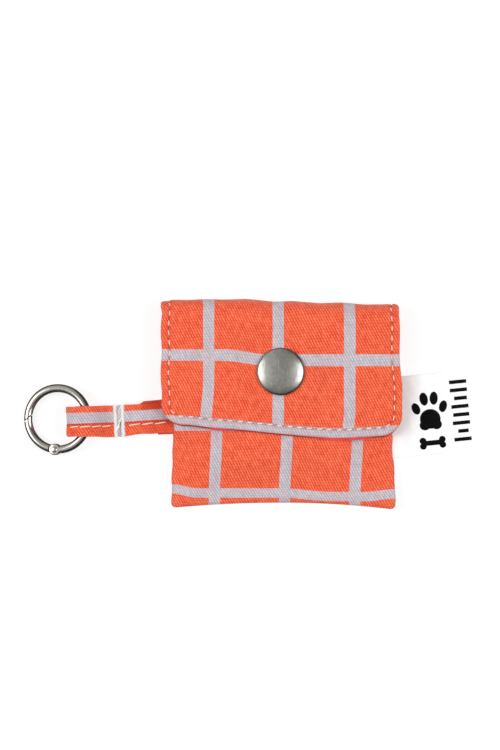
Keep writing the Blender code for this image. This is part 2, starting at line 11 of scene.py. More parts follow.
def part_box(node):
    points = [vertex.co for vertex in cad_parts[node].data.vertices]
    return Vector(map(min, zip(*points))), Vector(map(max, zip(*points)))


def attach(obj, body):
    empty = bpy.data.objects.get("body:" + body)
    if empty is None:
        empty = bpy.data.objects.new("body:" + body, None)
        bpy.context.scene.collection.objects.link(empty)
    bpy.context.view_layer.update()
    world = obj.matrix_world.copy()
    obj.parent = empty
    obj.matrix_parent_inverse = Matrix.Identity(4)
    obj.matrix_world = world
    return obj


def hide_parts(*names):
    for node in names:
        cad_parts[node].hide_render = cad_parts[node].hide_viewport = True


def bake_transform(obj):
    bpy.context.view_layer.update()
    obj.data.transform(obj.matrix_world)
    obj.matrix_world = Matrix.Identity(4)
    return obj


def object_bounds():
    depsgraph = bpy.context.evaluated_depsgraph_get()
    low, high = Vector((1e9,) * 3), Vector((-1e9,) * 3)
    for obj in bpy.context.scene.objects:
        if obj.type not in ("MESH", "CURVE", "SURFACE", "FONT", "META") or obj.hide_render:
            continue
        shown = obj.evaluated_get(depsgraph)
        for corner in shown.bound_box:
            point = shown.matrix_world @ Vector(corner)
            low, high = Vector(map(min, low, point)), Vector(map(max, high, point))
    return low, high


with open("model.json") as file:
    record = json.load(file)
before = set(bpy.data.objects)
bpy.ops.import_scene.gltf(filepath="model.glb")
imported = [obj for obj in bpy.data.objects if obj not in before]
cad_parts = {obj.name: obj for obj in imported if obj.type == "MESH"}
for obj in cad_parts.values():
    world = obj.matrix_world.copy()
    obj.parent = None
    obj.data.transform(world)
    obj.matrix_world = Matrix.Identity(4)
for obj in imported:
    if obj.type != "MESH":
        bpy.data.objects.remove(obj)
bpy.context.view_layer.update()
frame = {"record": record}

# Everything below is worked out in millimetres and scaled when it becomes a mesh.
MM = 0.001
PITCH_X = 23.35  # the check's pitch across the cloth and along it
PITCH_Y = 22.9
STRIPE_HALF = 1.88
WALE_WIDTH = 0.83
FLOAT_LENGTH = 1.05  # along a wale
WALE_COS, WALE_SIN = 0.883, 0.469  # the direction across the wales
THREAD_RADIUS = 0.2
STITCH_PITCH = 3.3
STITCH_SHARE = 0.62  # how much of each pitch shows on top
STITCH_SHIFT = 0.12  # how unevenly the stitches start
STITCH_SINK = 0.14  # how deep their ends lie in the cloth
# the reach of the painted shade round a needle hole
HOLE_SHADE_RADIUS = 0.34
HOLE_REACH = 0.12  # how far past its end a stitch goes down


def mm_box(node):
    low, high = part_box(node)
    return np.array(low) / MM, np.array(high) / MM


def joint(name):
    return next(j for j in frame["record"]["behaviour"]["joints"] if j["name"] == name)


flap_high = mm_box("flap_outer")[1]
cap_low, cap_high = mm_box("snap_cap")

FOLD_Y = flap_high[1]
FLAP_HALF = flap_high[0]
HALF = 37.0  # half the pocket's width
MOUTH_Y = mm_box("front_panel_outer")[1][1]
BOTTOM_Y = -33.0  # the pocket's lower edge in its middle
TAIL_END = mm_box("flap_tail_outer")[0][1]
SNAP = (cap_low[:2] + cap_high[:2]) / 2
FOLD_HEIGHT = 12.3  # the height of the flap's fold in its middle
FOLD_DROP = 3.4  # how much lower it is at the flap's sides
SNAP_BUMP = flap_high[2] - FOLD_HEIGHT


# ---- small tools


def ease(t):
    t = np.clip(t, 0.0, 1.0)
    return t * t * (3 - 2 * t)


def bell(x, middle, width):
    return np.exp(-(((x - middle) / width) ** 2))


def ripple(a, b, seed, scale, waves=5):
    """Smooth seeded unevenness, about -1 to 1, with features of about the given size."""
    rng = np.random.default_rng(seed)
    total = np.zeros(np.broadcast(a, b).shape)
    weight = 0.0
    for k in range(waves):
        angle = rng.uniform(0, math.tau)
        phase = rng.uniform(0, math.tau)
        rate = rng.uniform(0.7, 1.6) * (1 + 0.35 * k) / scale
        share = 1 / (1 + 0.5 * k)
        total += share * np.cos(math.tau * rate * (a * math.cos(angle) + b * math.sin(angle)) + phase)
        weight += share * 0.6
    return total / weight


EDGE_STEPS = np.array((0, 0.05, 0.14, 0.28, 0.48, 0.75, 1.1, 1.5, 1.9, 2.2, 2.45, 2.7, 2.95, 3.2, 3.6, 4.1))


def spaced(length, step=0.6):
    """Distances from 0 to length, close together near both ends, where edges and seams are."""
    inner = length - 2 * EDGE_STEPS[-1]
    count = max(2, round(inner / step))
    middle = EDGE_STEPS[-1] + inner * np.arange(1, count) / count
    return np.concatenate((EDGE_STEPS, middle, length - EDGE_STEPS[::-1]))


def band_columns(width, margin, count):
    """Distances across a narrow band, close together only at its two edges."""
    edge = EDGE_STEPS[:7]
    return np.concatenate((edge, np.linspace(margin, width - margin, count), width - edge[::-1]))


def round_edge(d, radius):
    """0 at an edge, rising along a quarter ellipse to 1 at the given distance."""
    t = 1 - np.clip(d / radius, 0, 1)
    return np.sqrt(np.clip(1 - t * t, 0, 1))


def unit(vectors):
    return vectors / np.maximum(np.linalg.norm(vectors, axis=-1, keepdims=True), 1e-12)


def together(*parts):
    """One grid of points from a grid for each coordinate."""
    return np.stack(parts, axis=-1)


def distances(points):
    """The distance along a line of points, at each of them."""
    return np.concatenate(([0], np.cumsum(np.linalg.norm(np.diff(points, axis=0), axis=1))))


def normals_of(points, sign=1.0):
    return sign * unit(np.cross(np.gradient(points, axis=1), np.gradient(points, axis=0)))


def smooth_knots(knots, steps):
    """Catmull-Rom points through the knots."""
    pts = np.asarray(knots, dtype=float)
    pts = np.vstack((2 * pts[0] - pts[1], pts, 2 * pts[-1] - pts[-2]))
    out = []
    for a, b, c, d in zip(pts, pts[1:], pts[2:], pts[3:]):
        for t in np.arange(steps) / steps:
            bend = (2 * a - 5 * b + 4 * c - d) * t**2 + (3 * b - a - 3 * c + d) * t**3
            out.append(0.5 * (2 * b + (c - a) * t + bend))
    return np.array(out + [pts[-2]])


def link_object(name, data, matrix=None):
    made = bpy.data.objects.new(name, data)
    bpy.context.scene.collection.objects.link(made)
    if matrix is not None:
        made.matrix_world = matrix
    return made


def new_object(name, mesh, material, matrix=None):
    mesh.materials.append(material)
    mesh.shade_smooth()
    return link_object(name, mesh, matrix)


def mesh_from(bm, name):
    mesh = bpy.data.meshes.new(name)
    bm.to_mesh(mesh)
    bm.free()
    return mesh


def finished_mesh(piece):
    """A mesh of the piece as its modifiers or its curve settings shape it."""
    bpy.context.view_layer.update()
    shown = piece.evaluated_get(bpy.context.evaluated_depsgraph_get())
    return bpy.data.meshes.new_from_object(shown)


def soften(piece, width, angle):
    """Rounds a hard piece's edges that are sharper than the angle."""
    bevel = piece.modifiers.new("soft_edges", "BEVEL")
    bevel.width = width * MM
    bevel.segments = 2
    bevel.limit_method = "ANGLE"
    bevel.angle_limit = math.radians(angle)


def hand_over(piece, slot, *nodes, body="pocket", bend=None, sheet=None):
    """Attaches a piece to its body, or where a bend is given bakes the piece's place into its mesh instead,
    and hides the CAD nodes that it stands for. The slot is not used, and the sheet is not used."""
    if bend:
        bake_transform(piece)
    else:
        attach(piece, body)
    if nodes:
        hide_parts(*nodes)


# ---- cloth and thread


def float_layer(mesh, name, values):
    layer = mesh.attributes.new(name, "FLOAT", "POINT")
    layer.data.foreach_set("value", np.asarray(values, dtype=np.float32).ravel())


def weave_layer(mesh, spots):
    """Stores each point's place on the flat cloth, which the materials read."""
    corner = np.zeros(len(mesh.loops), dtype=np.int64)
    mesh.loops.foreach_get("vertex_index", corner)
    layer = mesh.uv_layers.new(name="weave")
    layer.data.foreach_set("uv", spots[corner].astype(np.float32).ravel())


def cloth_object(name, outer, inner, weave, marks, material, up=True, holes=None):
    """A closed sheet of cloth from two grids. The inner one joins the outer one along its border."""
    rows, cols = outer.shape[:2]
    first = np.arange(rows * cols).reshape(rows, cols)
    second = first.copy()
    second[1:-1, 1:-1] = rows * cols + np.arange((rows - 2) * (cols - 2)).reshape(rows - 2, cols - 2)

    def quads(index, keep):
        a, b, c, d = index[:-1, :-1], index[:-1, 1:], index[1:, 1:], index[1:, :-1]
        order = (a, b, c, d) if keep else (a, d, c, b)
        return np.stack([side.ravel() for side in order], axis=1)

    def both(one, other, size):
        return np.concatenate((one.reshape(-1, size), other[1:-1, 1:-1].reshape(-1, size)))

    points = both(outer, inner, 3)
    faces = np.concatenate((quads(first, up), quads(second, not up)))
    mesh = bpy.data.meshes.new(name)
    mesh.from_pydata((points * MM).tolist(), [], faces.tolist())
    weave_layer(mesh, both(weave, weave, 2))
    for key, grid in marks.items():
        float_layer(mesh, key, both(grid, grid, 1))
    if holes is not None:
        tree = KDTree(len(holes))
        for k, spot in enumerate(holes):
            tree.insert(spot, k)
        tree.balance()
        away = np.array([tree.find(point)[2] for point in points])
        # Painted shade round each needle hole.
        float_layer(mesh, "hole", np.exp(-((away / HOLE_SHADE_RADIUS) ** 2)))
    return new_object(name, mesh, material)


def sample(grid, rows, cols, s, c):
    """Reads a grid between its points at row values s and column values c."""
    i = np.clip(np.interp(s, rows, np.arange(len(rows))), 0, len(rows) - 1.001)
    j = np.clip(np.interp(c, cols, np.arange(len(cols))), 0, len(cols) - 1.001)
    i0, j0 = i.astype(int), j.astype(int)
    fi, fj = (i - i0)[:, None], (j - j0)[:, None]
    low = grid[i0, j0] * (1 - fj) + grid[i0, j0 + 1] * fj
    high = grid[i0 + 1, j0] * (1 - fj) + grid[i0 + 1, j0 + 1] * fj
    return low * (1 - fi) + high * fi


class Line:
    """A line on a surface, read by distance along it."""

    def __init__(self, points, normals):
        self.points = np.asarray(points)
        self.normals = np.asarray(normals)
        self.along = distances(self.points)
        self.length = self.along[-1]

    def _read(self, values, at):
        return np.stack([np.interp(at, self.along, values[:, k]) for k in range(3)], axis=-1)

    def spot(self, at):
        """The point there, the direction along the line and the one off the surface."""
        ahead, behind = (self._read(self.points, at + step) for step in (0.15, -0.15))
        run = unit(ahead - behind)
        up = self._read(self.normals, at)
        up = unit(up - run * (up * run).sum(axis=-1, keepdims=True))
        return self._read(self.points, at), run, up


def tube_rings(name, strands, material, ring=8):
    """Short closed tubes. A strand is its rings' centres, two directions across it, and radii."""
    centres, sides, ups, radii = (np.array(part) for part in zip(*strands))
    tubes, rings = centres.shape[:2]
    angles = math.tau * np.arange(ring) / ring
    around = (
        sides[:, :, None, :] * np.cos(angles)[None, None, :, None]
        + ups[:, :, None, :] * np.sin(angles)[None, None, :, None]
    )
    points = centres[:, :, None, :] + around * radii[:, :, None, None]
    ends = np.stack((centres[:, 0], centres[:, -1]), axis=1)
    block = np.concatenate((points.reshape(tubes, -1, 3), ends), axis=1)
    per = block.shape[1]
    spots = np.zeros((tubes, per, 2))
    spots[:, : rings * ring, 0] = np.repeat(np.arange(rings), ring)[None, :] * 0.3
    spots[:, : rings * ring, 1] = np.tile(np.arange(ring), rings)[None, :] / ring
    pairs = [(j, (j + 1) % ring) for j in range(ring)]
    last = (rings - 1) * ring
    faces = [(k + j, k + n, k + ring + n, k + ring + j) for k in range(0, last, ring) for j, n in pairs]
    faces += [(rings * ring, n, j) for j, n in pairs]
    faces += [(rings * ring + 1, last + j, last + n) for j, n in pairs]
    every = [tuple(v + t * per for v in face) for t in range(tubes) for face in faces]
    mesh = bpy.data.meshes.new(name)
    mesh.from_pydata((block.reshape(-1, 3) * MM).tolist(), [], every)
    weave_layer(mesh, spots.reshape(-1, 2))
    return new_object(name, mesh, material)


def stitch_starts(line, pitch, share):
    """Where each stitch of a line comes up, and how long it is."""
    count = max(1, int(line.length / pitch))
    own = line.length / count
    spread = np.random.default_rng(5).uniform(-STITCH_SHIFT, STITCH_SHIFT, count)
    return (np.arange(count) + 0.5 * (1 - share)) * own + spread, share * own


def stitch_row(
    name, lines, material, radius=THREAD_RADIUS, pitch=STITCH_PITCH, share=STITCH_SHARE, lean=0.1, rise=0.16
):
    """A row of separate stitches: each comes up out of the cloth, crosses it and dives back in."""
    rng = np.random.default_rng(len(name))
    strands = []
    t = np.linspace(0, 1, 9)
    arch = np.sin(math.pi * t) ** 0.55
    for line in lines:
        starts, reach = stitch_starts(line, pitch, share)
        for start in starts:
            here, run, up = line.spot(start + reach * t)
            across = np.cross(up, run)
            slant = lean * (2 * t - 1) * rng.uniform(0.6, 1.3)
            centre = here + up * (rise * arch - STITCH_SINK)[:, None] + across * slant[:, None]
            strands.append((centre, across, up, radius * (0.45 + 0.55 * arch)))
    return tube_rings(name, strands, material)


def needle_holes(lines):
    """The points where the stitches of stitch_row go through the cloth."""
    spots = []
    for line in lines:
        starts, reach = stitch_starts(line, STITCH_PITCH, STITCH_SHARE)
        spots += [line.spot(at)[0] for at in (starts - HOLE_REACH, starts + reach + HOLE_REACH)]
    return np.concatenate(spots)


# ---- materials


class Graph:
    """A small helper for building the nodes of a material or of the sky."""

    def __init__(self, owner, out="ShaderNodeOutputMaterial", shader="ShaderNodeBsdfPrincipled"):
        self.owner = owner
        owner.use_nodes = True
        self.tree = owner.node_tree
        self.tree.nodes.clear()
        self.shader = self.add(shader)
        self.link(self.shader.outputs[0], self.add(out).inputs["Surface"])

    def add(self, kind, **settings):
        made = self.tree.nodes.new(kind)
        for key, value in settings.items():
            setattr(made, key, value)
        return made

    def link(self, source, target):
        self.tree.links.new(source, target)

    def put(self, target, value):
        if isinstance(value, bpy.types.NodeSocket):
            self.link(value, target)
        else:
            target.default_value = value

    def fill(self, node, values, output=0):
        for socket, value in zip(node.inputs, values):
            self.put(socket, value)
        return node.outputs[output]

    def math(self, operation, *values, clamp=False):
        return self.fill(self.add("ShaderNodeMath", operation=operation, use_clamp=clamp), values)

    def mul(self, a, b):
        return self.math("MULTIPLY", a, b)

    def plus(self, a, b):
        return self.math("ADD", a, b)

    def minus(self, a, b):
        return self.math("SUBTRACT", a, b)

    def fma(self, a, b, c):
        return self.math("MULTIPLY_ADD", a, b, c)

    def wave(self, value, period=1.0):
        return self.math("COSINE", self.mul(value, math.tau / period))

    def uv(self):
        parts = self.add("ShaderNodeSeparateXYZ")
        self.link(self.add("ShaderNodeUVMap", uv_map="weave").outputs[0], parts.inputs[0])
        return parts.outputs[0], parts.outputs[1]

    def mark(self, name):
        return self.add("ShaderNodeAttribute", attribute_name=name).outputs["Fac"]

    def place(self, kind="Object"):
        return self.add("ShaderNodeTexCoord").outputs[kind]

    def glossy_ray(self):
        return self.add("ShaderNodeLightPath").outputs["Is Glossy Ray"]

    def join(self, x, y, z=0.0):
        return self.fill(self.add("ShaderNodeCombineXYZ"), (x, y, z))

    def noise(self, vector, scale, detail=2.0, rough=0.5):
        made = self.add("ShaderNodeTexNoise")
        for key, value in (("Vector", vector), ("Scale", scale), ("Detail", detail), ("Roughness", rough)):
            self.put(made.inputs[key], value)
        return made.outputs[0]

    def span(self, value, low, high, out_low=0.0, out_high=1.0):
        made = self.add("ShaderNodeMapRange", interpolation_type="SMOOTHSTEP")
        return self.fill(made, (value, low, high, out_low, out_high))

    def mix(self, factor, first, second):
        made = self.add("ShaderNodeMix", data_type="RGBA")
        self.put(made.inputs["Factor"], factor)
        for socket, value in ((made.inputs[6], first), (made.inputs[7], second)):
            self.put(socket, value if isinstance(value, bpy.types.NodeSocket) else (*value, 1.0))
        return made.outputs[2]

    def clouded(self, noise, first, second):
        return self.mix(self.span(noise, 0.3, 0.7), first, second)

    def bump(self, height, distance, strength):
        made = self.add("ShaderNodeBump")
        for key, value in (("Distance", distance), ("Strength", strength), ("Height", height)):
            self.put(made.inputs[key], value)
        return made.outputs[0]

    def set(self, **inputs):
        for key, value in inputs.items():
            self.put(self.shader.inputs[key.replace("_", " ")], value)
        return self.owner


def material_graph(name, **kind):
    return Graph(bpy.data.materials.new(name), **kind)


def twill_field(g, u, v):
    """Diagonal wales with the short slanted floats of each yarn, as height and shade."""
    wobble = g.noise(g.join(u, v), 0.35, 3.0)
    across = g.plus(g.plus(g.mul(u, WALE_COS), g.mul(v, WALE_SIN)), g.mul(wobble, 0.22))
    along = g.minus(g.mul(v, WALE_COS), g.mul(u, WALE_SIN))
    phase = g.math("DIVIDE", across, WALE_WIDTH)
    wale = g.fma(g.wave(phase), 0.5, 0.5)
    rank = g.math("FLOOR", g.plus(phase, 0.5))
    step = g.plus(g.math("DIVIDE", along, FLOAT_LENGTH), g.mul(rank, 0.37))
    grain = g.fma(g.wave(step), 0.5, 0.5)
    yarn = g.noise(g.join(g.mul(rank, 7.31), g.mul(along, 0.45)), 1.0, 2.0)
    fuzz = g.noise(g.join(u, v), 5.5, 2.0)
    height = g.fma(fuzz, 0.35, g.fma(grain, 0.25, g.mul(wale, 0.75)))
    return height, wale, grain, yarn, fuzz


def twill_material():
    g = material_graph("checked_twill")
    u, v = g.uv()
    drift = g.noise(g.join(u, v), 1.1, 2.0)
    drift = g.mul(g.minus(drift, 0.5), 0.3)

    def stripes(coordinate, pitch):
        turn = g.math("DIVIDE", g.plus(coordinate, drift), pitch)
        away = g.mul(g.math("ABSOLUTE", g.minus(turn, g.math("ROUND", turn))), pitch)
        return g.span(away, STRIPE_HALF - 0.1, STRIPE_HALF + 0.1, 1.0, 0.0)

    stripe = g.math("MAXIMUM", stripes(u, PITCH_X), stripes(v, PITCH_Y))
    height, wale, grain, yarn, fuzz = twill_field(g, u, v)
    light = g.fma(grain, 0.12, g.fma(fuzz, 0.4, g.fma(wale, 0.32, g.mul(yarn, 0.5))))
    tone = g.span(light, 0.39, 0.99)
    orange = g.mix(tone, (0.68, 0.032, 0.008), (1.0, 0.235, 0.115))
    lilac = g.mix(tone, (0.375, 0.345, 0.395), (0.69, 0.645, 0.685))
    cloth = g.mix(stripe, orange, lilac)
    patch = g.noise(g.join(u, v), 0.09, 3.0)
    cloth = g.mix(g.span(patch, 0.3, 0.7, 0.0, 0.10), cloth, (0.62, 0.10, 0.055))
    cloth = g.mix(g.mul(g.mark("wear"), 0.12), cloth, (1.0, 0.36, 0.24))
    # Painted shade: darker red along grooves, edges and folds, and on layers that lie in shadow.
    cloth = g.mix(g.mul(g.mark("groove_and_shade"), 0.28), cloth, (0.54, 0.035, 0.015))
    # Painted shade: near black round needle holes, along the strap's fold line and at the pocket's lower
    # edge.
    hole = g.math("MULTIPLY", g.mark("hole"), 0.6, clamp=True)
    return g.set(
        Base_Color=g.mix(hole, cloth, (0.10, 0.012, 0.010)),
        Roughness=g.span(yarn, 0.2, 0.8, 0.78, 0.92),
        Sheen_Weight=0.18,
        Sheen_Roughness=0.45,
        Sheen_Tint=(1.0, 0.82, 0.76, 1.0),
        Specular_IOR_Level=0.25,
        Normal=g.bump(height, 0.00008, 0.7),
    )


def lining_material():
    g = material_graph("coral_lining_weave")
    u, v = g.uv()
    weave = g.mul(g.wave(u, 0.42), g.wave(v, 0.42))
    cloud = g.noise(g.join(u, v), 0.5, 3.0)
    slub = g.noise(g.join(g.mul(u, 0.3), g.mul(v, 4.0)), 1.0, 2.0)
    base = g.clouded(cloud, (0.70, 0.040, 0.040), (0.83, 0.075, 0.065))
    # Painted shade: darker along grooves and edges, and as a dark line below the flap's hem.
    base = g.mix(g.mul(g.mark("groove_and_shade"), 0.35), base, (0.35, 0.02, 0.02))
    return g.set(
        Base_Color=g.mix(g.span(slub, 0.55, 0.75, 0.0, 0.35), base, (0.95, 0.16, 0.13)),
        Roughness=g.span(cloud, 0.2, 0.8, 0.72, 0.88),
        Sheen_Weight=0.15,
        Sheen_Roughness=0.5,
        Normal=g.bump(g.fma(slub, 0.5, weave), 0.00005, 0.6),
    )


def thread_material(name, colour, deep):
    g = material_graph(name)
    along, around = g.uv()
    ply = g.wave(g.plus(g.mul(along, 2.4), around), 0.5)
    fuzz = g.noise(g.place(), 2600.0, 2.0)
    return g.set(
        # Painted shade: the deep colour darkens the grooves between the plies; the fuzz varies the tone at
        # random.
        Base_Color=g.mix(g.span(g.fma(ply, 0.25, fuzz), 0.2, 0.8), deep, colour),
        Roughness=g.span(fuzz, 0.3, 0.7, 0.5, 0.7),
        Sheen_Weight=0.2,
        Sheen_Roughness=0.4,
        Normal=g.bump(g.fma(ply, 0.6, fuzz), 0.00005, 0.7),
    )


def satin_metal_material():
    """Plated steel with a fine grain and a few light scratches."""
    g = material_graph("satin_snap_metal")
    spot = g.place()
    grain = g.noise(spot, 900.0, 4.0, 0.65)
    cloud = g.noise(spot, 260.0, 3.0)
    stretch = g.add("ShaderNodeMapping")
    stretch.inputs["Rotation"].default_value = (0.0, 0.0, 0.5)
    stretch.inputs["Scale"].default_value = (2600.0, 160.0, 160.0)
    g.link(spot, stretch.inputs[0])
    lines = g.noise(stretch.outputs[0], 1.0, 1.0)
    scratch = g.span(lines, 0.66, 0.74)
    base = g.clouded(cloud, (0.37, 0.365, 0.335), (0.49, 0.485, 0.445))
    base = g.mix(g.mul(scratch, 0.6), base, (0.82, 0.82, 0.79))
    base = g.mix(g.span(grain, 0.35, 0.65, 0.0, 0.5), base, (0.27, 0.265, 0.24))
    rough = g.plus(g.span(grain, 0.3, 0.7, 0.28, 0.38), g.mul(scratch, 0.08))
    normal = g.bump(g.fma(lines, 0.2, grain), 0.00002, 0.5)
    return g.set(Base_Color=base, Metallic=1.0, Roughness=rough, Normal=normal)


def nickel_material():
    g = material_graph("polished_nickel")
    spot = g.place()
    cloud = g.noise(spot, 300.0, 3.0)
    return g.set(
        Base_Color=g.clouded(cloud, (0.50, 0.475, 0.43), (0.60, 0.575, 0.525)),
        Metallic=1.0,
        Roughness=g.span(g.noise(spot, 1500.0, 3.0), 0.35, 0.75, 0.12, 0.2),
        Normal=g.bump(cloud, 0.00004, 0.12),
    )


def spring_material():
    g = material_graph("spring_steel_wire")
    drawn = g.noise(g.place(), 1800.0, 3.0)
    base = g.clouded(drawn, (0.42, 0.42, 0.42), (0.62, 0.62, 0.61))
    return g.set(Base_Color=base, Metallic=1.0, Roughness=g.span(drawn, 0.3, 0.7, 0.22, 0.34))


def label_material():
    """White satin ribbon, printed with a plain paw, a bone and a stack of plain bars."""
    g = material_graph("white_satin_print")
    u, v = g.uv()

    def oval(cu, cv, ru, rv, turn=0.0):
        du, dv = g.minus(u, cu), g.minus(v, cv)
        c, s = math.cos(turn), math.sin(turn)
        a = g.math("DIVIDE", g.plus(g.mul(du, c), g.mul(dv, s)), ru)
        b = g.math("DIVIDE", g.minus(g.mul(dv, c), g.mul(du, s)), rv)
        size = g.math("SQRT", g.plus(g.mul(a, a), g.mul(b, b)))
        return g.mul(g.minus(size, 1.0), min(ru, rv))

    def block(cu, cv, ru, rv):
        a = g.minus(g.math("ABSOLUTE", g.minus(u, cu)), ru)
        b = g.minus(g.math("ABSOLUTE", g.minus(v, cv)), rv)
        return g.math("MAXIMUM", a, b)

    pads = [oval(6.4, -1.6, 3.5, 3.3)]
    pads += [oval(6.4 + side * 1.8, -3.4, 2.0, 1.8, -side * 0.5) for side in (-1, 1)]
    toes = [(1.9, 2.2, 1.35, 2.0, 0.35), (4.8, 5.2, 1.4, 2.2, 0.12)]
    toes += [(8.2, 5.2, 1.4, 2.2, -0.12), (11.1, 2.2, 1.35, 2.0, -0.35)]
    bone = [block(6.5, -9.6, 3.0, 0.85)]
    bone += [oval(cu, cv, 1.15, 1.1) for cu in (3.2, 9.8) for cv in (-10.5, -8.7)]
    halves = (3.4, 3.4, 2.2, 3.4, 3.0, 3.4, 1.8, 3.4)
    bars = [block(17.3, 9.9 - 2.75 * k, half, 0.62) for k, half in enumerate(halves)]
    shapes = pads + [oval(*toe) for toe in toes] + bone + bars
    nearest = shapes[0]
    for shape in shapes[1:]:
        nearest = g.math("MINIMUM", nearest, shape)
    bleed = g.noise(g.join(u, v), 2.4, 2.0)
    nearest = g.plus(nearest, g.mul(g.minus(bleed, 0.5), 0.16))
    ink = g.mul(g.span(nearest, -0.07, 0.07, 1.0, 0.0), g.mark("face"))
    rib = g.wave(v, 0.33)
    warp = g.noise(g.join(g.mul(u, 0.4), g.mul(v, 5.0)), 1.0, 2.0)
    cloud = g.noise(g.join(u, v), 0.25, 2.0)
    white = g.clouded(cloud, (0.90, 0.90, 0.90), (0.97, 0.97, 0.97))
    white = g.mix(g.span(warp, 0.5, 0.75, 0.0, 0.2), white, (0.84, 0.84, 0.85))
    dark = g.mix(g.span(warp, 0.4, 0.7), (0.001, 0.001, 0.001), (0.004, 0.004, 0.004))
    return g.set(
        Base_Color=g.mix(ink, white, dark),
        Roughness=g.span(warp, 0.3, 0.7, 0.42, 0.58),
        Specular_IOR_Level=0.06,
        Normal=g.bump(g.fma(rib, 0.4, warp), 0.00003, 0.4),
    )


TWILL = twill_material()
CORAL = lining_material()
CREAM = thread_material("cream_thread", (1.0, 0.88, 0.78), (0.92, 0.66, 0.54))
WHITE_THREAD = thread_material("white_thread", (1.0, 0.99, 0.97), (0.90, 0.87, 0.86))
CORAL_THREAD = thread_material("coral_thread", (0.92, 0.22, 0.14), (0.62, 0.08, 0.05))
SNAP_METAL = satin_metal_material()
NICKEL = nickel_material()
SPRING = spring_material()
LABEL = label_material()


# ---- the pouch's surfaces

FLAP_CORNER = 7.0
FLAP_FLAT = 38.5  # the flap's length up to where its fold begins
TAIL_LENGTH = 7.0
BODY_CORNER = 1.7
HEM = 6.0  # below this the rows keep their distance from the lower edge
TOPSTITCH = 2.7  # the flap's topstitch, from its edge
MOUTH_STITCH = 2.5  # the mouth's topstitch, below the mouth
SEAM_PUFF = 2.55  # the width of the strip that puffs up between the edge and the topstitch
FLAP_HALF_THICK = 0.58
FLAP_LINING_HALF_THICK = 0.22
FLAP_LINING_DEPTH = 1.47
FRONT_THICK = 1.1
BACK_THICK = 0.6
LINING_HALF_THICK = 0.17
LINING_GAP = 1.22  # from the outer face of the pocket's cloth to its lining
LINING_INSET = 0.9
SEAM_STITCH = 0.30  # the closing seams, from the pocket's edge
TAIL_REST = 0.62  # the lowest height of the flap's cloth behind the pocket


def bottom_y(x):
    lean = np.where(x < 0, 1.6, 2.1)
    return BOTTOM_Y - lean * np.abs(x / 36) ** 2


def cad_bottom_y(x):
    return -34.7 + 1.9 * (1 - (x / HALF) ** 2)


def tail_lift(y):
    return 1.5 * ease((y - 16) / 5)


def back_under(x, y):
    return 1.6 * np.abs(x / HALF) ** 4 + tail_lift(y)


def front_top(x, y):
    full = (6.5 - 0.9 * tail_lift(y)) * (1 - np.clip(np.abs(x / HALF), 0, 1) ** 3)
    return back_under(x, y) + 3.3 + full * ease((y - cad_bottom_y(x)) / 21)


def seam_height(x, y):
    return back_under(x, y) + 1.7


def fold_height(x):
    return FOLD_HEIGHT - FOLD_DROP * np.abs(x / FLAP_HALF) ** 2.5


def fold_y(x):
    return FOLD_Y - 0.35 - 0.019 * x + 0.85 * bell(x, -14, 10) - 0.9 * ease((np.abs(x) - 36.6) / 3.4)


def flap_edge_y(x):
    bend = 0.9 * ease((x - 15) / 20) + 0.75 * ease((-x - 22) / 12)
    return -9.45 - 2.0 * np.sin(math.pi * (x + 4) / 62) + bend


def flap_top(x, y):
    """The flap's height, with a bump over the snap that has faded out before the fold."""
    r = np.hypot(x - SNAP[0], y - SNAP[1])
    return fold_height(x) + SNAP_BUMP * ease((17.5 - r) / 8)


class Outline:
    """A cloth's outline by s, the distance from its lower edge, and c from -1 to 1 across, and the
    grid of points in it."""

    def __init__(self, total, half, corner, step=0.6):
        self.total = total
        self.corner = corner
        self.rows = spaced(total, step)
        self.cols = spaced(2 * half, step) / half - 1
        self.s, self.c = np.meshgrid(self.rows, self.cols, indexing="ij")

    def corner_cut(self, s):
        out = np.clip(self.corner - s, 0, None)
        return self.corner - np.sqrt(np.clip(self.corner**2 - out**2, 0, None))

    def x_at(self, s, c):
        left, right = self.half_widths(s)
        return np.where(c < 0, c * left, c * right)

    def c_at(self, s, x):
        left, right = self.half_widths(s)
        return np.where(x < 0, x / left, x / right)

    def y_at(self, s, bottom, top, length):
        share = np.clip((s - HEM) / (length - HEM), 0, 1)
        return bottom + np.clip(s, 0, HEM) + share * (top - bottom - HEM)

    def inside(self):
        """Each grid point's distance from the sides and the lower edge."""
        corner, s = self.corner, self.s
        x = self.x_at(s, self.c)
        left, right = self.half_widths(np.maximum(s, corner))
        side = np.minimum(x + left, right - x)
        bent = corner - np.hypot(corner - side, corner - s)
        return np.clip(np.where((side < corner) & (s < corner), bent, np.minimum(side, s)), 0, None)

    def line(self, points, normals, s, c):
        """The line through the given places on a finished surface."""
        return Line(*(sample(grid, self.rows, self.cols, s, c) for grid in (points, normals)))


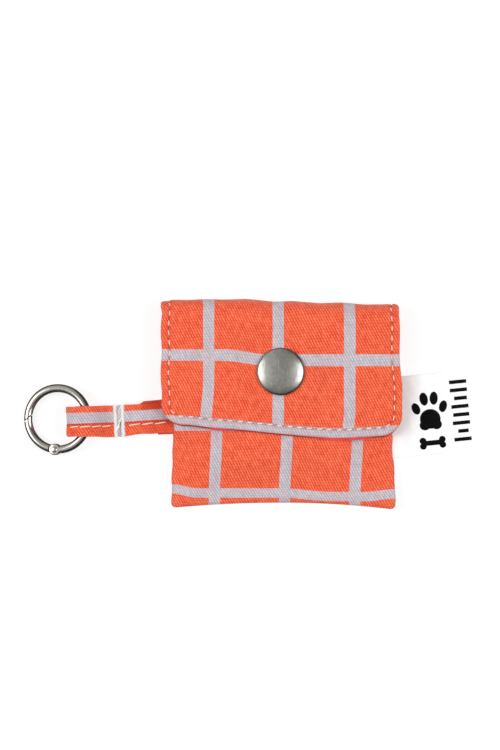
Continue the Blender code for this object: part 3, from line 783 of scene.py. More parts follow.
class Flap(Outline):
    """The flap's outer surface: s runs up the front, round the fold and down behind the pocket."""

    def __init__(self, extra=0.0):
        self.extra = extra
        self.turn_length = math.pi * FOLD_HEIGHT / 2
        super().__init__(FLAP_FLAT + self.turn_length + TAIL_LENGTH, FLAP_HALF, FLAP_CORNER)

    def half_widths(self, s):
        wave = 0.22 * np.sin(math.tau * s / 15.5 + 0.6) * ease(s / 8)
        left = FLAP_HALF - 0.05 + wave
        right = FLAP_HALF - 1.45 + 1.15 * ease((34 - s) / 30) + 0.18 * np.sin(math.tau * s / 18 + 2.1)
        return left - self.corner_cut(s), right - self.corner_cut(s)

    def surface(self, s, c):
        x = self.x_at(s, c)
        radius = fold_height(x) / 2
        turn_y = fold_y(x) - radius
        flat_y = self.y_at(s, flap_edge_y(x) - self.extra, turn_y, FLAP_FLAT)
        angle = math.pi / 2 - math.pi * np.clip((s - FLAP_FLAT) / self.turn_length, 0, 1)
        tail = np.clip((s - FLAP_FLAT - self.turn_length) / TAIL_LENGTH, 0, 1)
        y = np.where(s <= FLAP_FLAT, flat_y, turn_y + radius * np.cos(angle)) - tail * (turn_y - TAIL_END)
        z = np.where(s <= FLAP_FLAT, flap_top(x, flat_y), radius + radius * np.sin(angle))
        return together(x, y, z)

    def pattern(self, s, c):
        """Where the check lies on the flap."""
        point = self.surface(np.minimum(s, FLAP_FLAT), c)
        x, y = point[..., 0], point[..., 1]
        first = 14.6 + 1.65 * ease((-x - 5) / 14)
        second = flap_edge_y(x) + 1.25
        v = np.where(y < first, (y - first) * PITCH_Y / (first - second), (y - first) * 0.946)
        v = v + 0.85 * np.clip(s - FLAP_FLAT, 0, None)
        left = 23.05 + 0.9 * ease((8 - y) / 14)
        right = 23.75 - 0.6 * ease((-2 - y) / 8)
        u = (x + 1.45) * PITCH_X / np.where(x < -1.45, left, right)
        return together(u, v)

    def inset_line(self, inset, step=0.35):
        """(s, c) along a line a fixed distance inside the sides and the lower edge."""
        radius = FLAP_CORNER - inset
        up = np.arange(FLAP_CORNER, self.total - inset, step)
        left_up, right_up = self.half_widths(up)
        left, right = (width[0] - FLAP_CORNER for width in self.half_widths(np.array([FLAP_CORNER])))
        turn = np.linspace(0, math.pi / 2, 24)[1:-1]
        back = turn[::-1]
        along = np.arange(-left, right, step)
        s = [up[::-1], FLAP_CORNER - radius * np.sin(turn), np.full(len(along), inset)]
        s += [FLAP_CORNER - radius * np.sin(back), up]
        x = [-left_up[::-1] + inset, -left - radius * np.cos(turn), along]
        x += [right + radius * np.cos(back), right_up - inset]
        s = np.concatenate(s)
        return s, self.c_at(s, np.concatenate(x))


def flap_relief(s, x, d):
    """How far the outer cloth stands off its even surface: seam, stitching and puckers."""
    puff = 0.22 * np.sin(math.pi * np.clip(d / SEAM_PUFF, 0, 1))
    groove_and_shade = -0.27 * bell(d, TOPSTITCH, 0.42)
    run = np.where(d < HEM, np.where(s < FLAP_CORNER, x, s), 0)
    return puff + groove_and_shade + 0.09 * np.cos(math.tau * run / STITCH_PITCH) * bell(d, 2.2, 1.5)


def flap_drape(flap, s, x):
    """Soft unevenness of the whole flap, with fine radial pulls round the snap."""
    flat_s = np.minimum(s, FLAP_FLAT)
    point = flap.surface(flat_s, flap.c_at(flat_s, x))
    dx, dy = point[..., 0] - SNAP[0], point[..., 1] - SNAP[1]
    r = np.hypot(dx, dy)
    pull = 0.13 * np.cos(9 * np.arctan2(dy, dx) + 0.7) * bell(r, 10.5, 2.6)
    dent = -0.25 * bell(r, 7.9, 1.8)
    waves = 0.28 * ripple(x, s, 11, 34) + 0.07 * ripple(x, s, 12, 11)
    hem = 0.35 * np.sin(math.tau * (x + 6) / 23.0) * bell(s, 0, 5.0)
    return pull + dent + waves + hem


def build_flap():
    flap = Flap()
    s, c = flap.s, flap.c
    x = flap.x_at(s, c)
    d = np.clip(np.minimum(flap.inside(), flap.total - s), 0, None)
    drape = flap_drape(flap, s, x)[..., None]
    base = flap.surface(s, c)
    out = normals_of(base)
    middle = base - out * FLAP_HALF_THICK + drape * out
    half = (FLAP_HALF_THICK * round_edge(d, 0.8))[..., None]
    relief = (flap_relief(s, x, d) * ease(d / 0.5))[..., None]
    outer = middle + out * (half + relief)
    inner = middle - out * (half - 0.25 * relief)
    for face in (outer, inner):
        face[..., 2] = np.maximum(face[..., 2], TAIL_REST)
    # The topstitch's groove shapes the lining below, and its mark paints shade along the groove, with more
    # painted shade at the flap's edge.
    groove_and_shade = bell(d, TOPSTITCH, 0.45)
    marks = {"groove_and_shade": groove_and_shade + 0.5 * bell(d, 0, 0.3), "wear": bell(d, 0.35, 0.3)}

    edge = flap.inset_line(TOPSTITCH)
    behind = (np.full(240, flap.total - TOPSTITCH), np.linspace(-0.9, 0.9, 240))
    face_out = normals_of(outer)
    lines = [flap.line(outer, face_out, *places) for places in (edge, behind)]
    holes = needle_holes(lines)
    cloth = cloth_object("flap_cloth", outer, inner, flap.pattern(s, c), marks, TWILL, holes=holes)

    # The lining: its lower edge peeks out below the outer cloth, more where the hem is slack.
    base = Flap(extra=0.25).surface(s, c)
    out = normals_of(base)
    slack = ease((x + 25) / 2) * ease((-17.5 - x) / 2) + ease((x - 9) / 6) * ease((31 - x) / 3)
    middle = base - out * FLAP_LINING_DEPTH + drape * out
    middle[..., 1] += bell(s, 0, 1.2) * (-0.22 - 0.38 * slack)
    half = (FLAP_LINING_HALF_THICK * round_edge(d, 0.35))[..., None]
    low = (0.12 * np.sin(math.pi * np.clip(d / SEAM_PUFF, 0, 1)) - 0.15 * groove_and_shade)[..., None]
    outer = middle + out * half
    inner = middle - out * (half + low * ease(d / 0.5)[..., None])
    # Painted shade: a dark line along the lining's lower edge where the hem is not slack, and along the
    # topstitch.
    marks = {"groove_and_shade": groove_and_shade + 2.8 * (1 - slack) * bell(s, 0, 0.8)}
    lining = cloth_object("flap_lining_cloth", outer, inner, together(x, s), marks, CORAL)

    stitches = stitch_row("flap_topstitch", lines, CREAM)
    under = middle - out * (half + low)
    bobbin = flap.line(under, -normals_of(under), *edge)
    bobbins = stitch_row("flap_bobbin_stitch", [bobbin], CORAL_THREAD, radius=0.16, lean=0.05)

    where = {"body": "flap", "bend": ((0, 0.0344, 0.0025), (0, 0.0344, 0.0070))}
    folded = {"held": "folded", "rests_on": ["front_cloth"]}
    nodes = ("flap_outer", "flap_interlining", "flap_tail_outer")
    hand_over(cloth, "orange_twill", *nodes, sheet={"flat": (0.081, 0.0645), **folded}, **where)
    nodes = ("flap_lining", "flap_tail_lining")
    hand_over(lining, "coral_lining", *nodes, sheet={"flat": (0.081, 0.060), **folded}, **where)
    hand_over(stitches, "cream_thread", "flap_thread", **where)
    hand_over(bobbins, "coral_lining", **where)


# ---- the pocket


class Pocket(Outline):
    """The pocket's outline, which leans out a little towards its lower corners."""

    def __init__(self, top, inset=0.0, step=0.6):
        self.inset = inset
        super().__init__(top - BOTTOM_Y - inset, HALF, BODY_CORNER, step)

    def half_widths(self, s):
        y = s + BOTTOM_Y
        out = ease((-10 - y) / 18)
        left = 36.6 + 0.4 * out + 0.12 * np.sin(y * 0.75)
        right = 36.8 + 0.9 * out + 0.14 * np.sin(y * 0.62 + 1.0)
        return left - self.corner_cut(s) - self.inset, right - self.corner_cut(s) - self.inset

    def places(self):
        x = self.x_at(self.s, self.c)
        top = self.total + self.inset + BOTTOM_Y
        return x, self.y_at(self.s, bottom_y(x) + self.inset, top, self.total)


def front_pattern(x, y):
    """Where the check lies on the front."""
    middle = 1.55 - 0.8 * ease((-9 - y) / 22)
    curl = 1.4 * ease((-x - 28) / 9) + 0.9 * ease((x - 28) / 9)
    line = -29.7 + curl * ease((-12 - y) / 10) - 1.2 * ease(x / 16)
    away = y - line
    v = 0.988 * away + 0.2 * np.clip(away, -2.2, 2.2)
    return together((x - middle) * PITCH_X / 23.45, v)


def panel(front):
    """One face of the pocket: rolls over at the sides and bottom to the seam between the faces."""
    shape = Pocket(MOUTH_Y)
    s = shape.s
    x, y = shape.places()
    d = shape.inside()
    to_mouth = shape.total - s
    thick = FRONT_THICK if front else BACK_THICK
    seam = seam_height(x, y)
    run = np.where(np.abs(x) > 34, y, x)
    pucker = 0.10 * np.cos(math.tau * run / 4.1 + (0 if front else 1.3)) * bell(d, 1.3, 1.3)
    roll = round_edge(d + 0.02, 1.9 if front else 1.5)
    hem = -0.15 * bell(to_mouth, MOUTH_STITCH, 0.4)
    # Painted shade along the edges and along the mouth's topstitch.
    marks = {
        "groove_and_shade": 0.7 * bell(d, 0, 0.35) + bell(to_mouth, MOUTH_STITCH, 0.4),
        "wear": bell(d, 1.0, 0.5) * 0.6,
    }
    if front:
        soft = 0.30 * ripple(x, y, 21, 36) + 0.09 * ripple(x, y, 22, 12)
        z = seam + (front_top(x, y) - seam) * roll + (soft * ease(d / 5) + pucker + hem)
        # Painted shade along the front's lower edge.
        marks["hole"] = 0.16 * bell(s, 0, 2.0)
        weave = front_pattern(x, y)
    else:
        soft = 0.12 * np.abs(ripple(x, y, 31, 30)) * ease(d / 6)
        z = seam + (back_under(x, y) - seam) * roll + soft - hem * 0.6 + np.maximum(pucker, 0)
        weave = together(PITCH_X / 2 - x * 0.99, y + 7.2)
    outer = together(x, y, z)
    out = normals_of(outer, 1.0 if front else -1.0)
    # At the mouth the sheet's end is rounded on both faces.
    lip = (0.5 * thick * (1 - round_edge(to_mouth, 0.5)))[..., None]
    edge = round_edge(np.minimum(d, to_mouth), 0.45)[..., None]
    skin = outer - out * lip
    inner = outer - out * np.minimum(thick * edge + lip, thick)
    name = "front_cloth" if front else "back_cloth"
    piece = cloth_object(name, skin, inner, weave, marks, TWILL, up=front)
    nodes = ("front_panel_outer", "front_interlining") if front else ("back_panel_outer",)
    hand_over(piece, "orange_twill", *nodes, sheet={"flat": (0.0735, 0.0625), "held": "stretched"})
    return shape, skin, out


def lining_sheet(side):
    """The lining of one face. It stops just short of the mouth, turned in behind the topstitch."""
    front = side == "front"
    sign = -1.0 if front else 1.0
    shape = Pocket(MOUTH_Y - 0.05, LINING_INSET, step=0.9)
    x, y = shape.places()
    d = shape.inside()
    to_mouth = shape.total - shape.s
    waves = np.abs(0.10 * ripple(x, y, 41 if front else 42, 14) * ease(d / 4))
    roll = (0.55 if front else 0.5) * (1 - round_edge(d + 0.02, 2.2))
    face = (front_top if front else back_under)(x, y) + sign * (LINING_GAP + roll + waves)
    outer = together(x, y, face)
    out = normals_of(outer)
    half = out * (LINING_HALF_THICK * round_edge(np.minimum(d, to_mouth), 0.3))[..., None]
    middle = outer + out * LINING_HALF_THICK * sign
    # Painted shade along the mouth's topstitch and near the edges.
    marks = {"groove_and_shade": bell(to_mouth, MOUTH_STITCH, 0.4) + 0.6 * bell(d, 0, 1.0)}
    weave = together(x, y)
    piece = cloth_object(side + "_lining_cloth", middle + half, middle - half, weave, marks, CORAL)
    hand_over(piece, "coral_lining", side + "_lining", sheet={"flat": (0.0715, 0.061), "held": "stretched"})


def closing_seam(name, node, x, y, outward):
    points = together(x, y, seam_height(x, y))
    seam = Line(points, np.tile(outward, (len(x), 1)))
    row = stitch_row(name, [seam], CORAL_THREAD, radius=0.15, pitch=2.6, share=0.7, lean=0.05)
    hand_over(row, "coral_lining", node)


def build_pocket():
    shape, skin, out = panel(True)
    panel(False)
    lining_sheet("front")
    lining_sheet("back")

    mouth = shape.line(skin, out, np.full(260, shape.total - MOUTH_STITCH), np.linspace(-0.955, 0.955, 260))
    hand_over(stitch_row("mouth_stitch", [mouth], CREAM), "cream_thread", "mouth_thread")

    y = np.linspace(-31.0, 26.0, 160)
    left, right = shape.half_widths(y - BOTTOM_Y)
    for name, side, edge in (("left", -1, left), ("right", 1, right)):
        x = side * (edge - SEAM_STITCH)
        closing_seam(name + "_seam_stitch", "side_seam_thread_" + name, x, y, (side, 0.0, 0.0))
    x = np.linspace(-33.5, 34.0, 160)
    closing_seam("bottom_seam_stitch", "bottom_seam_thread", x, bottom_y(x) + SEAM_STITCH, (0.0, -1.0, 0.0))


# ---- snap fastener

CAP_DOME = 1.9  # the cap's height above its rim
SNAP_WIRE_RADIUS = 0.18
SNAP_WIRE_HEIGHT = 0.75  # of the spring wires in the socket


def turned(name, profile, material, matrix, segments=96, bevel=0.0):
    """A turned piece from (radius, height) points. A profile that starts off the axis is closed."""
    bm = bmesh.new()
    angles = [math.tau * k / segments for k in range(segments)]
    rings = []
    for radius, height in profile:
        reach, z = radius * MM, height * MM
        if radius:
            rings.append([bm.verts.new((reach * math.cos(a), reach * math.sin(a), z)) for a in angles])
        else:
            rings.append([bm.verts.new((0, 0, z))])
    following = rings[1:] + ([rings[0]] if len(rings[0]) > 1 else [])
    for upper, lower in zip(rings, following):
        for k in range(segments):
            places = ((upper, k), (lower, k), (lower, k + 1), (upper, k + 1))
            corners = [ring[place % len(ring)] for ring, place in places]
            bm.faces.new(list(dict.fromkeys(corners)))
    bmesh.ops.recalc_face_normals(bm, faces=bm.faces)
    piece = new_object(name, mesh_from(bm, name), material, matrix)
    piece.data.set_sharp_from_angle(angle=math.radians(40))
    if bevel:
        soften(piece, bevel, 35)
    return piece


def wire(name, points, radius, material, matrix):
    curve = bpy.data.curves.new(name, "CURVE")
    curve.dimensions = "3D"
    curve.bevel_depth = radius * MM
    curve.bevel_resolution = 4
    curve.use_fill_caps = True
    spline = curve.splines.new("POLY")
    spline.points.add(len(points) - 1)
    for point, spot in zip(spline.points, points):
        point.co = (*(np.asarray(spot) * MM), 1.0)
    made = link_object(name, curve)
    mesh = finished_mesh(made)
    bpy.data.objects.remove(made)
    mesh.name = name
    mesh.materials.clear()
    return new_object(name, mesh, material, matrix)


def build_snap():
    spot = Matrix.Translation((SNAP[0] * MM, SNAP[1] * MM, 0))

    def metal(name, node, body, profile, bevel=0.0, segments=96):
        piece = turned(name, profile, SNAP_METAL, spot, segments, bevel)
        hand_over(piece, "satin_snap_metal", node, body=body)

    dome = [(0, CAP_DOME), (2.5, 1.81), (5.0, 1.44), (6.0, 1.2), (6.7, 0.98), (7.2, 0.78), (7.5, 0.6)]
    profile = smooth_knots(dome + [(7.75, 0.36), (7.88, 0.14), (7.5, 0)], 6).tolist()
    profile += [(7.05, 0.05), (6.9, 0.35), (6.2, 0.45), (1.9, 0.45), (1.3, 0.35)]
    profile = [(r, cap_high[2] - CAP_DOME + h) for r, h in profile]
    profile += [(1.3, cap_low[2]), (0, cap_low[2])]
    metal("snap_cap_shell", "snap_cap", "flap", profile, segments=128)

    low, top = (corner[2] for corner in mm_box("snap_socket"))
    profile = [(1.7, top), (5.7, top), (6.05, top - 0.12), (6.2, top - 0.4), (6.2, low + 0.35)]
    profile += [(6.1, low + 0.1), (5.85, low), (5.1, low), (4.95, low + 0.14), (4.3, low + 0.14)]
    profile += [(4.15, low), (3.5, low), (3.3, low + 0.1), (3.3, low + 0.3), (4.6, low + 0.3)]
    profile += [(4.6, top - 0.4), (1.7, top - 0.4)]
    metal("snap_socket_ring", "snap_socket", "flap", profile, bevel=0.05)

    base = mm_box("snap_stud")[0][2]
    profile = [(0, 1.7), (1.2, 1.68), (1.9, 1.6), (2.3, 1.42), (2.5, 1.2), (2.42, 1.0), (2.2, 0.86)]
    profile += [(2.12, 0.7), (2.15, 0.5), (2.4, 0.4), (3.6, 0.4), (3.8, 0.48), (4.6, 0.48), (4.8, 0.4)]
    profile += [(5.3, 0.38), (5.5, 0.2), (5.45, 0.04), (5.3, 0.0), (1.8, 0.0), (1.8, 1.35), (0, 1.35)]
    metal("snap_stud_post", "snap_stud", "pocket", [(r, base + h) for r, h in profile], bevel=0.04)

    flange, tip = (corner[2] for corner in mm_box("snap_post"))
    profile = [(1.5, 0.55), (1.6, 0.45), (4.2, 0.42), (4.4, 0.3), (4.38, 0.12), (4.1, 0.02), (2.2, 0.02)]
    profile = [(r, flange + h) for r, h in profile + [(2.0, 0.12), (0, 0.12)]]
    profile = [(0, tip), (1.35, tip), (1.5, tip - 0.15)] + profile
    metal("snap_post_rivet", "snap_post", "pocket", profile, bevel=0.03)

    bend = ((3.35, -2.9), (3.2, -2.2), (2.98, -1.3), (2.95, 0), (2.98, 1.3), (3.2, 2.2), (3.35, 2.9))
    for name, side in (("left", -1), ("right", 1)):
        knots = [(side * x, y, low + SNAP_WIRE_HEIGHT) for x, y in bend]
        piece = wire("snap_wire_" + name, smooth_knots(knots, 6), SNAP_WIRE_RADIUS, SPRING, spot)
        hand_over(piece, "spring_steel", "snap_spring_" + name, body="flap")


# ---- strap and label


class Band:
    """A folded band that follows knots of (distance out, height). Each grid has a row for each point of
    the path and a column for each place across."""

    def __init__(self, knots, width, margin, count, leftward, zero, rim):
        self.path = smooth_knots(knots, 9)
        self.run = unit(np.gradient(self.path, axis=0))
        rows = len(self.path)
        length = distances(self.path)
        start = rows // 3
        length += zero - np.interp(zero, self.path[:start, 0], length[:start])
        cols = band_columns(width, margin, count)
        self.w = (cols - width / 2) * (-1 if leftward else 1)
        self.side, self.along = np.meshgrid(self.w, length)
        flat = 0 * self.side
        self.row = np.arange(rows)[:, None] + flat
        self.u, self.z = self.path[:, :1] + flat, self.path[:, 1:] + flat
        self.out_u, self.out_z = -self.run[:, 1:], self.run[:, :1]
        self.d = np.minimum(cols, width - cols) + flat
        ends = np.minimum(self.row, rows - 1 - self.row) * 0.3
        self.rim = round_edge(np.minimum(self.d, ends), rim)

    def off(self, height):
        """Distance out and height of the points that far off the path."""
        return self.u + self.out_u * height, self.z + self.out_z * height


strap_joint = joint("strap_hinge")
STRAP_ORIGIN = Vector(strap_joint["pos_m"])
STRAP_AXIS = Vector(strap_joint["axis"])
STRAP_TURN = math.atan2(-STRAP_AXIS.x, STRAP_AXIS.y)
STRAP_BEND = ((-0.0405, -0.0046, 0.004), (-0.0455, -0.0048, 0.004))
STRAP_STITCH = -1.7  # the topstitch's place across the strap
STRAP_FOLD = -0.95  # and its folded edge's
STRAP_KNOTS = (
    (-7.6, 3.7), (-3.0, 4.0), (0.2, 4.0), (6.0, 4.0), (13.5, 4.0), (16.0, 5.0), (18.2, 6.9), (20.2, 8.4),
    (22.6, 9.15), (25.0, 8.8), (26.9, 7.6), (28.15, 6.0), (28.5, 4.3), (27.9, 3.0), (26.0, 2.35), (22.3, 2.2),
    (13.5, 2.45), (6.0, 2.5), (0.2, 2.5), (-3.0, 2.5), (-7.6, 2.9),
)


def strap_place(u, across, z):
    """From strap coordinates (u out along it, across, height) to the model's millimetres."""
    c, s = math.cos(STRAP_TURN), math.sin(STRAP_TURN)
    x, y = -u * c - across * s, -u * s + across * c
    return together(STRAP_ORIGIN.x / MM + x, STRAP_ORIGIN.y / MM + y, z)


def build_strap():
    band = Band(STRAP_KNOTS, 10, 1.4, 40, leftward=True, zero=11.5, rim=0.3)
    side, along, u, d = band.side, band.along, band.u, band.d
    rows = len(band.path)
    lower = ease((band.row - rows * 0.55) / (rows * 0.1))
    skew = (0.75 * ease((4.4 - u) / 1.2) + 0.35 * ease((3.5 - u) / 8)) * lower
    stitched = bell(side, STRAP_STITCH, 0.3)
    fold = 0.24 * ease((STRAP_FOLD - side) / 0.22)
    tack = -0.2 * bell(along, 11.45, 1.6)
    roll = -0.5 * ease((side - 1.0) / 4) * ease((5.5 - u) / 5) * (1 - lower)
    waves = 0.08 * ripple(along, side, 51, 9) + 0.05 * ripple(along, side, 52, 4)
    high = 0.58 * band.rim + (fold - 0.16 * stitched + tack + waves + roll) * ease(d / 0.4)
    low = -0.55 * band.rim + 0.3 * waves + roll * 0.8 * ease(d / 0.4)
    edge_wave = 0.05 * np.sin(math.tau * along / 7.3) * np.sign(side) * ease((np.abs(side) - 3) / 2)
    lean = ease((-side - 1) / 4)
    across = side + skew + edge_wave - 0.25 * bell(u, 12, 9)
    across = across - lean * (0.6 * bell(u, 13.5, 7) + 0.25 * ease((4 - u) / 4))
    across = across - lean * lower * 1.5 * ease((-0.3 - u) / 1.2)
    outer, inner = (strap_place(out, across, z) for out, z in (band.off(high), band.off(low)))
    below = np.clip(along - 30, 0, None)
    weave = together(11.45 - along - 0.10 * below, (side - 1.13) * 3.76 / 3.5)
    # Painted shadow on the strap's lower layer and on the upper layer's far edge near the pocket.
    painted_shadow = lower * ease((12 - u) / 4) + (1 - lower) * ease((4.6 - u) / 1.2) * ease((side - 2.6) / 0.4)
    # Painted shade on the folded strip, deeper near the pocket.
    folded = (0.35 + 1.3 * ease((7 - u) / 8)) * ease((-0.8 - side) / 0.3)
    # The marks paint shade along the stitching, the edges, the fold line and the shadowed parts.
    marks = {
        "groove_and_shade": folded + 0.8 * stitched + 0.5 * bell(d, 0, 0.2) + 2.3 * painted_shadow,
        "wear": bell(d, 0.25, 0.25),
        "hole": 0.85 * bell(side, -1.0, 0.2) * ease((45 - along) / 5),
    }
    cloth = cloth_object("strap_cloth", outer, inner, weave, marks, TWILL, up=False)
    hand_over(cloth, "orange_twill", "strap", "strap_root", body="strap", bend=STRAP_BEND)

    out = normals_of(outer, -1.0)
    column = int(np.argmin(np.abs(band.w - STRAP_STITCH)))
    upper = (band.run[:, 0] > 0.15) & (np.arange(rows) < rows * 0.55)
    parts = []
    for first, last in ((-4.6, 9.0), (13.9, 27.6)):
        keep = upper & (band.path[:, 0] >= first) & (band.path[:, 0] <= last)
        parts.append(Line(outer[keep, column], out[keep, column]))
    row = stitch_row("strap_topstitch", parts, CREAM, pitch=4.0, share=1.0, lean=0.2, rise=0.24)
    nodes = ("strap_thread_root_side", "strap_thread_loop")
    hand_over(row, "cream_thread", *nodes, body="strap", bend=STRAP_BEND)
    build_bar_tack(band.path[: rows // 3])


def build_bar_tack(top):
    """Two dense zigzag columns, with strands running across between them, on the strap's upper face."""
    rng = np.random.default_rng(7)
    strands = []
    t = np.linspace(0, 1, 9)
    arch = np.sin(math.pi * t) ** 0.5
    up = np.tile((0.0, 0.0, 1.0), (len(t), 1))

    def strand(u0, w0, u1, w1, size, lift):
        u, w = u0 + (u1 - u0) * t, w0 + (w1 - w0) * t
        z = np.interp(u, top[:, 0], top[:, 1]) + 0.36 + lift * arch
        centre = strap_place(u, w, z + 0.22 * ease((STRAP_FOLD - w) / 0.22))
        across = np.cross(up, unit(np.gradient(centre, axis=0)))
        strands.append((centre, across, up, size * (0.4 + 0.6 * arch)))

    for middle in (10.35, 12.75):
        for w in 4.7 - 10.3 * np.arange(24) / 23:
            shift = rng.uniform(-0.08, 0.08)
            left, right = middle - 0.7 + shift, middle + 0.7 + shift
            strand(left, w, right, w - 0.25, 0.2, 0.34)
            strand(right, w - 0.25, left, w - 0.42, 0.18, 0.27)
    for k in range(7):
        strand(10.5 + 0.12 * k, 4.6 - 1.3 * k, 11.9 + 0.12 * k, 2.2 - 1.2 * k, 0.17, 0.38)
    strand(10.5, 1.2, 12.6, -4.4, 0.17, 0.5)
    strand(10.7, 1.0, 12.8, -4.4, 0.16, 0.46)
    piece = tube_rings("strap_bar_tack", strands, WHITE_THREAD, 6)
    hand_over(piece, "cream_thread", "strap_bartack", body="strap")


label_joint = joint("label_hinge")
LABEL_ORIGIN = Vector(label_joint["pos_m"])
LABEL_TURN = math.atan2(label_joint["axis"][0], -label_joint["axis"][1])
LABEL_WIDTH = 27
LABEL_HALF_THICK = 0.15
LABEL_KNOTS = (
    (-8.0, 3.7), (-2.5, 3.85), (0.2, 3.85), (5.0, 3.6), (10.0, 2.9), (15.0, 2.0), (19.0, 1.35), (19.5, 0.95),
    (19.0, 0.5), (15.0, 1.2), (10.0, 2.15), (5.0, 2.9), (0.2, 3.15), (-2.5, 3.2), (-8.0, 3.2),
)


def build_label():
    band = Band(LABEL_KNOTS, LABEL_WIDTH, 1.6, 46, leftward=False, zero=0.0, rim=0.2)
    side, u, d = band.side, band.u, band.d
    cupped = 0.5 * (side / (LABEL_WIDTH / 2)) ** 2 + 0.18 * np.sin(side / 3.4 + 0.8) * ease(u / 19)
    curl = np.maximum(ease(u / 12) * cupped * ease((u + 1) / 8), 0)
    c, s = math.cos(LABEL_TURN), math.sin(LABEL_TURN)

    def spot(height):
        out, z = band.off(height)
        x = LABEL_ORIGIN.x / MM + out * c - side * s
        y = LABEL_ORIGIN.y / MM + out * s + side * c
        return together(x, y, z + curl)

    thick = LABEL_HALF_THICK * band.rim
    outer = spot(thick + 0.05 * bell(d, 0.8, 0.5) * ease(d / 0.3))
    weave = together(band.along, side)
    face = ease((len(band.path) * 0.5 - band.row) / 3)
    cloth = cloth_object("label_cloth", outer, spot(-thick), weave, {"face": face}, LABEL)
    bend = ((0.0415, -0.004, 0.0035), (0.0450, -0.004, 0.0035))
    sheet = {"flat": (0.027, 0.050), "held": "folded"}
    hand_over(cloth, "white_satin", "label", "label_root", body="label", bend=bend, sheet=sheet)


# ---- ring

RING_RADIUS = 10.25
WIRE = 1.35
WIRE_SIDES = 28
PIVOT_HEIGHT = 5.4
PIVOT_INSET = 0.9
RIVET_ANGLE = math.radians(262.3)
JOINT_ANGLE = math.radians(176.5)
JOINT_SLANT = math.radians(39.6)
JOINT_SPARE = math.radians(14)
JOINT_GAP = 0.2


def ring_matrix():
    reach = 2 * RING_RADIUS - PIVOT_INSET
    tilt = math.asin((PIVOT_HEIGHT - WIRE - 0.05) / reach)
    swing = Vector(joint("ring_swing")["pos_m"])
    turn = Matrix.Translation(swing) @ Matrix.Rotation(STRAP_TURN, 4, "Z") @ Matrix.Rotation(-tilt, 4, "Y")
    return turn @ Matrix.Translation(((PIVOT_INSET - RING_RADIUS) * MM, 0, 0))


def ring_spot(angle, radius=RING_RADIUS):
    return np.array((radius * math.cos(angle), radius * math.sin(angle), 0.0))


def arc(name, first, last, steps, matrix):
    """A closed length of round wire along the ring."""
    bm = bmesh.new()
    rings = []
    for k in range(steps + 1):
        angle = first + (last - first) * k / steps
        ring = []
        for j in range(WIRE_SIDES):
            turn = math.tau * j / WIRE_SIDES
            spot = ring_spot(angle, RING_RADIUS + WIRE * math.cos(turn))
            ring.append(bm.verts.new((spot[0] * MM, spot[1] * MM, WIRE * MM * math.sin(turn))))
        rings.append(ring)
    for a, b in zip(rings, rings[1:]):
        for j in range(WIRE_SIDES):
            n = (j + 1) % WIRE_SIDES
            bm.faces.new((a[j], a[n], b[n], b[j]))
    bm.faces.new(rings[0])
    bm.faces.new(rings[-1])
    bmesh.ops.recalc_face_normals(bm, faces=bm.faces)
    return new_object(name, mesh_from(bm, name), NICKEL, matrix)


def cutter_disc(radius, low, high, matrix, rounded=0.0):
    bm = bmesh.new()
    size = {"radius1": radius * MM, "radius2": radius * MM, "depth": (high - low) * MM}
    bmesh.ops.create_cone(bm, cap_ends=True, segments=64, **size)
    bmesh.ops.translate(bm, verts=bm.verts, vec=(0, 0, (high + low) / 2 * MM))
    if rounded:
        rims = [e for e in bm.edges if abs(e.verts[0].co.z - e.verts[1].co.z) < 1e-7]
        bmesh.ops.bevel(bm, geom=rims, offset=rounded * MM, segments=4, profile=0.5, affect="EDGES")
    return link_object("cutter", mesh_from(bm, "cutter"), matrix)


def cutter_block(low, high, matrix):
    bm = bmesh.new()
    bmesh.ops.create_cube(bm, size=1.0)
    for vert in bm.verts:
        for axis in range(3):
            vert.co[axis] = (low[axis] if vert.co[axis] < 0 else high[axis]) * MM
    return link_object("cutter", mesh_from(bm, "cutter"), matrix)


def cut(piece, *cutters):
    """Adds the first cutter's shape to the piece and takes the others' away."""
    for k, cutter in enumerate(cutters):
        step = piece.modifiers.new("cut", "BOOLEAN")
        step.operation = "DIFFERENCE" if k else "UNION"
        step.object = cutter
        step.solver = "EXACT"
    mesh = finished_mesh(piece)
    piece.modifiers.clear()
    old = piece.data
    piece.data = mesh
    bpy.data.meshes.remove(old)
    for cutter in cutters:
        bpy.data.objects.remove(cutter)
    mesh.shade_smooth()
    mesh.set_sharp_from_angle(angle=math.radians(32))
    soften(piece, 0.07, 40)


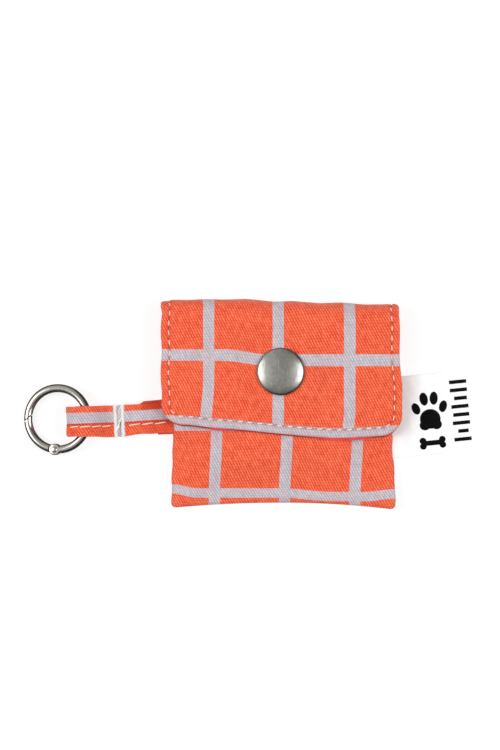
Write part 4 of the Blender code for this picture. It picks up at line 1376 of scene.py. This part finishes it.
def build_ring():
    place = ring_matrix()
    rivet = place @ Matrix.Translation(Vector(ring_spot(RIVET_ANGLE)) * MM)
    nose = place @ Matrix.Translation(Vector(ring_spot(JOINT_ANGLE)) * MM)
    nose = nose @ Matrix.Rotation(JOINT_SLANT, 4, "Z")
    body = arc("ring_polished", RIVET_ANGLE, JOINT_ANGLE + math.tau + JOINT_SPARE, 150, place)
    cut(
        body,
        cutter_disc(1.9, -WIRE, WIRE, rivet, 0.35),
        cutter_disc(2.3, -0.95, 0.95, rivet),
        cutter_disc(0.75, -3, 3, rivet),
        cutter_block((-4, -8, -4), (4, JOINT_GAP, 4), nose),
    )
    hand_over(body, "polished_nickel", "ring_body", body="ring")
    gate = arc("gate_polished", JOINT_ANGLE - JOINT_SPARE, RIVET_ANGLE, 56, place)
    cut(
        gate,
        cutter_disc(1.5, -0.75, -0.05, rivet),
        cutter_disc(2.2, -0.05, 3, rivet),
        cutter_disc(2.2, -3, -0.75, rivet),
        cutter_disc(0.75, -3, 3, rivet),
        cutter_block((-4, -JOINT_GAP, -4), (4, 8, 4), nose),
    )
    hand_over(gate, "polished_nickel", "ring_gate", body="gate")

    head = WIRE + 0.2
    half = [(0, 0.3), (0.35, 0.27), (0.7, 0.2), (0.92, 0.08), (1.0, 0), (0.45, 0)]
    profile = [(r, head + h) for r, h in half] + [(r, -head - h) for r, h in half[::-1]]
    pin = turned("gate_rivet_pin", profile, NICKEL, rivet, 48)
    hand_over(pin, "polished_nickel", "gate_rivet", body="ring")
    turns = [(step / 60, math.tau * 1.5 * step / 60) for step in range(61)]
    coil = [(1.1 * math.cos(angle), 1.1 * math.sin(angle), 0.24 + 0.4 * share) for share, angle in turns]
    hand_over(wire("gate_coil", coil, 0.1, SPRING, rivet), "spring_steel", "gate_spring", body="ring")


build_pocket()
build_flap()
build_snap()
build_strap()
build_ring()
build_label()


# ---- floor, light and camera


FLOOR_SIZE = 12.0
FLOOR_DROP = 0.0001  # keeps the floor just clear of the cloth


def build_floor(middle):
    """A pale floor that glows a little, so that it stays even, and that mirrors show as dim."""
    g = material_graph("pale_floor", shader="ShaderNodeMixShader")
    tone = g.clouded(g.noise(g.place(), 90.0, 3.0), (0.93, 0.93, 0.93), (0.96, 0.96, 0.96))
    matt = g.fill(g.add("ShaderNodeBsdfDiffuse"), (tone,))
    glow = g.fill(g.add("ShaderNodeEmission"), ((1.0, 1.0, 1.0, 1.0), 1.07))
    plain = g.fill(g.add("ShaderNodeMixShader"), (0.72, matt, glow))
    dim = g.fill(g.add("ShaderNodeBsdfDiffuse"), ((0.07, 0.067, 0.063, 1.0),))
    g.fill(g.shader, (g.glossy_ray(), plain, dim))
    mesh = bpy.data.meshes.new("floor")
    far = FLOOR_SIZE / 2
    mesh.from_pydata([(-far, -far, 0), (far, -far, 0), (far, far, 0), (-far, far, 0)], [], [(0, 1, 2, 3)])
    floor = new_object("floor", mesh, g.owner)
    floor.location = (middle.x, middle.y, -FLOOR_DROP)


def build_sky():
    """An even light, and for mirrors a wash from the upper left with patches of light in it."""
    world = bpy.data.worlds.new("studio")
    bpy.context.scene.world = world
    g = Graph(world, out="ShaderNodeOutputWorld", shader="ShaderNodeBackground")
    where = g.place("Generated")

    def toward(direction, low, high, value):
        """A soft patch of light around one direction of the sky."""
        aim = g.add("ShaderNodeVectorMath", operation="DOT_PRODUCT")
        away = g.fill(aim, (where, Vector(direction).normalized()), "Value")
        return g.span(away, low, high, 0.0, value)

    wash = toward((-0.68, 0.42, 0.60), -0.35, 0.95, 0.78)
    mirrored = g.plus(g.mul(wash, wash), 0.015)
    mirrored = g.plus(mirrored, toward((0.0, -0.42, 0.91), 0.75, 1.0, 0.26))
    mirrored = g.plus(mirrored, toward((-0.788, 0.03, 0.616), 0.90, 0.985, 5.0))
    mirrored = g.plus(mirrored, toward((0.70, -0.06, 0.71), 0.913, 0.985, 5.0))
    plain = g.plus(toward((0.0, 0.0, 1.0), -1.0, 1.0, 0.36), 0.10)
    pick = g.add("ShaderNodeMix")
    for slot, value in ((0, g.glossy_ray()), (2, plain), (3, mirrored)):
        g.link(value, pick.inputs[slot])
    g.fill(g.shader, (pick.outputs[0], 1.0))


def softbox(name, place, size, power, middle):
    """A light that isn't mirrored itself: the sky has its own patch for it."""
    light = bpy.data.lights.new(name, "AREA")
    light.shape = "RECTANGLE"
    light.size, light.size_y = size
    light.energy = power
    made = link_object(name, light)
    made.location = place
    made.visible_glossy = False
    made.rotation_euler = (middle - Vector(place)).to_track_quat("-Z", "Y").to_euler()


def build_studio():
    low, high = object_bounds()
    middle = (Vector(low) + Vector(high)) / 2
    build_floor(middle)
    build_sky()
    softbox("left_softbox", (-0.80, 0.06, 0.80), (0.45, 0.7), 7.0, middle)
    softbox("right_softbox", (0.80, -0.04, 0.80), (0.45, 0.7), 6.4, middle)
    camera = bpy.data.cameras.new("camera")
    camera.sensor_width = 36.0
    camera.lens = 172.8
    camera.clip_end = 10.0
    made = link_object("camera", camera)
    made.location = (-0.0108, 0.0097, 1.206)
    bpy.context.scene.camera = made
    bpy.context.scene.view_settings.view_transform = "Standard"


build_studio()
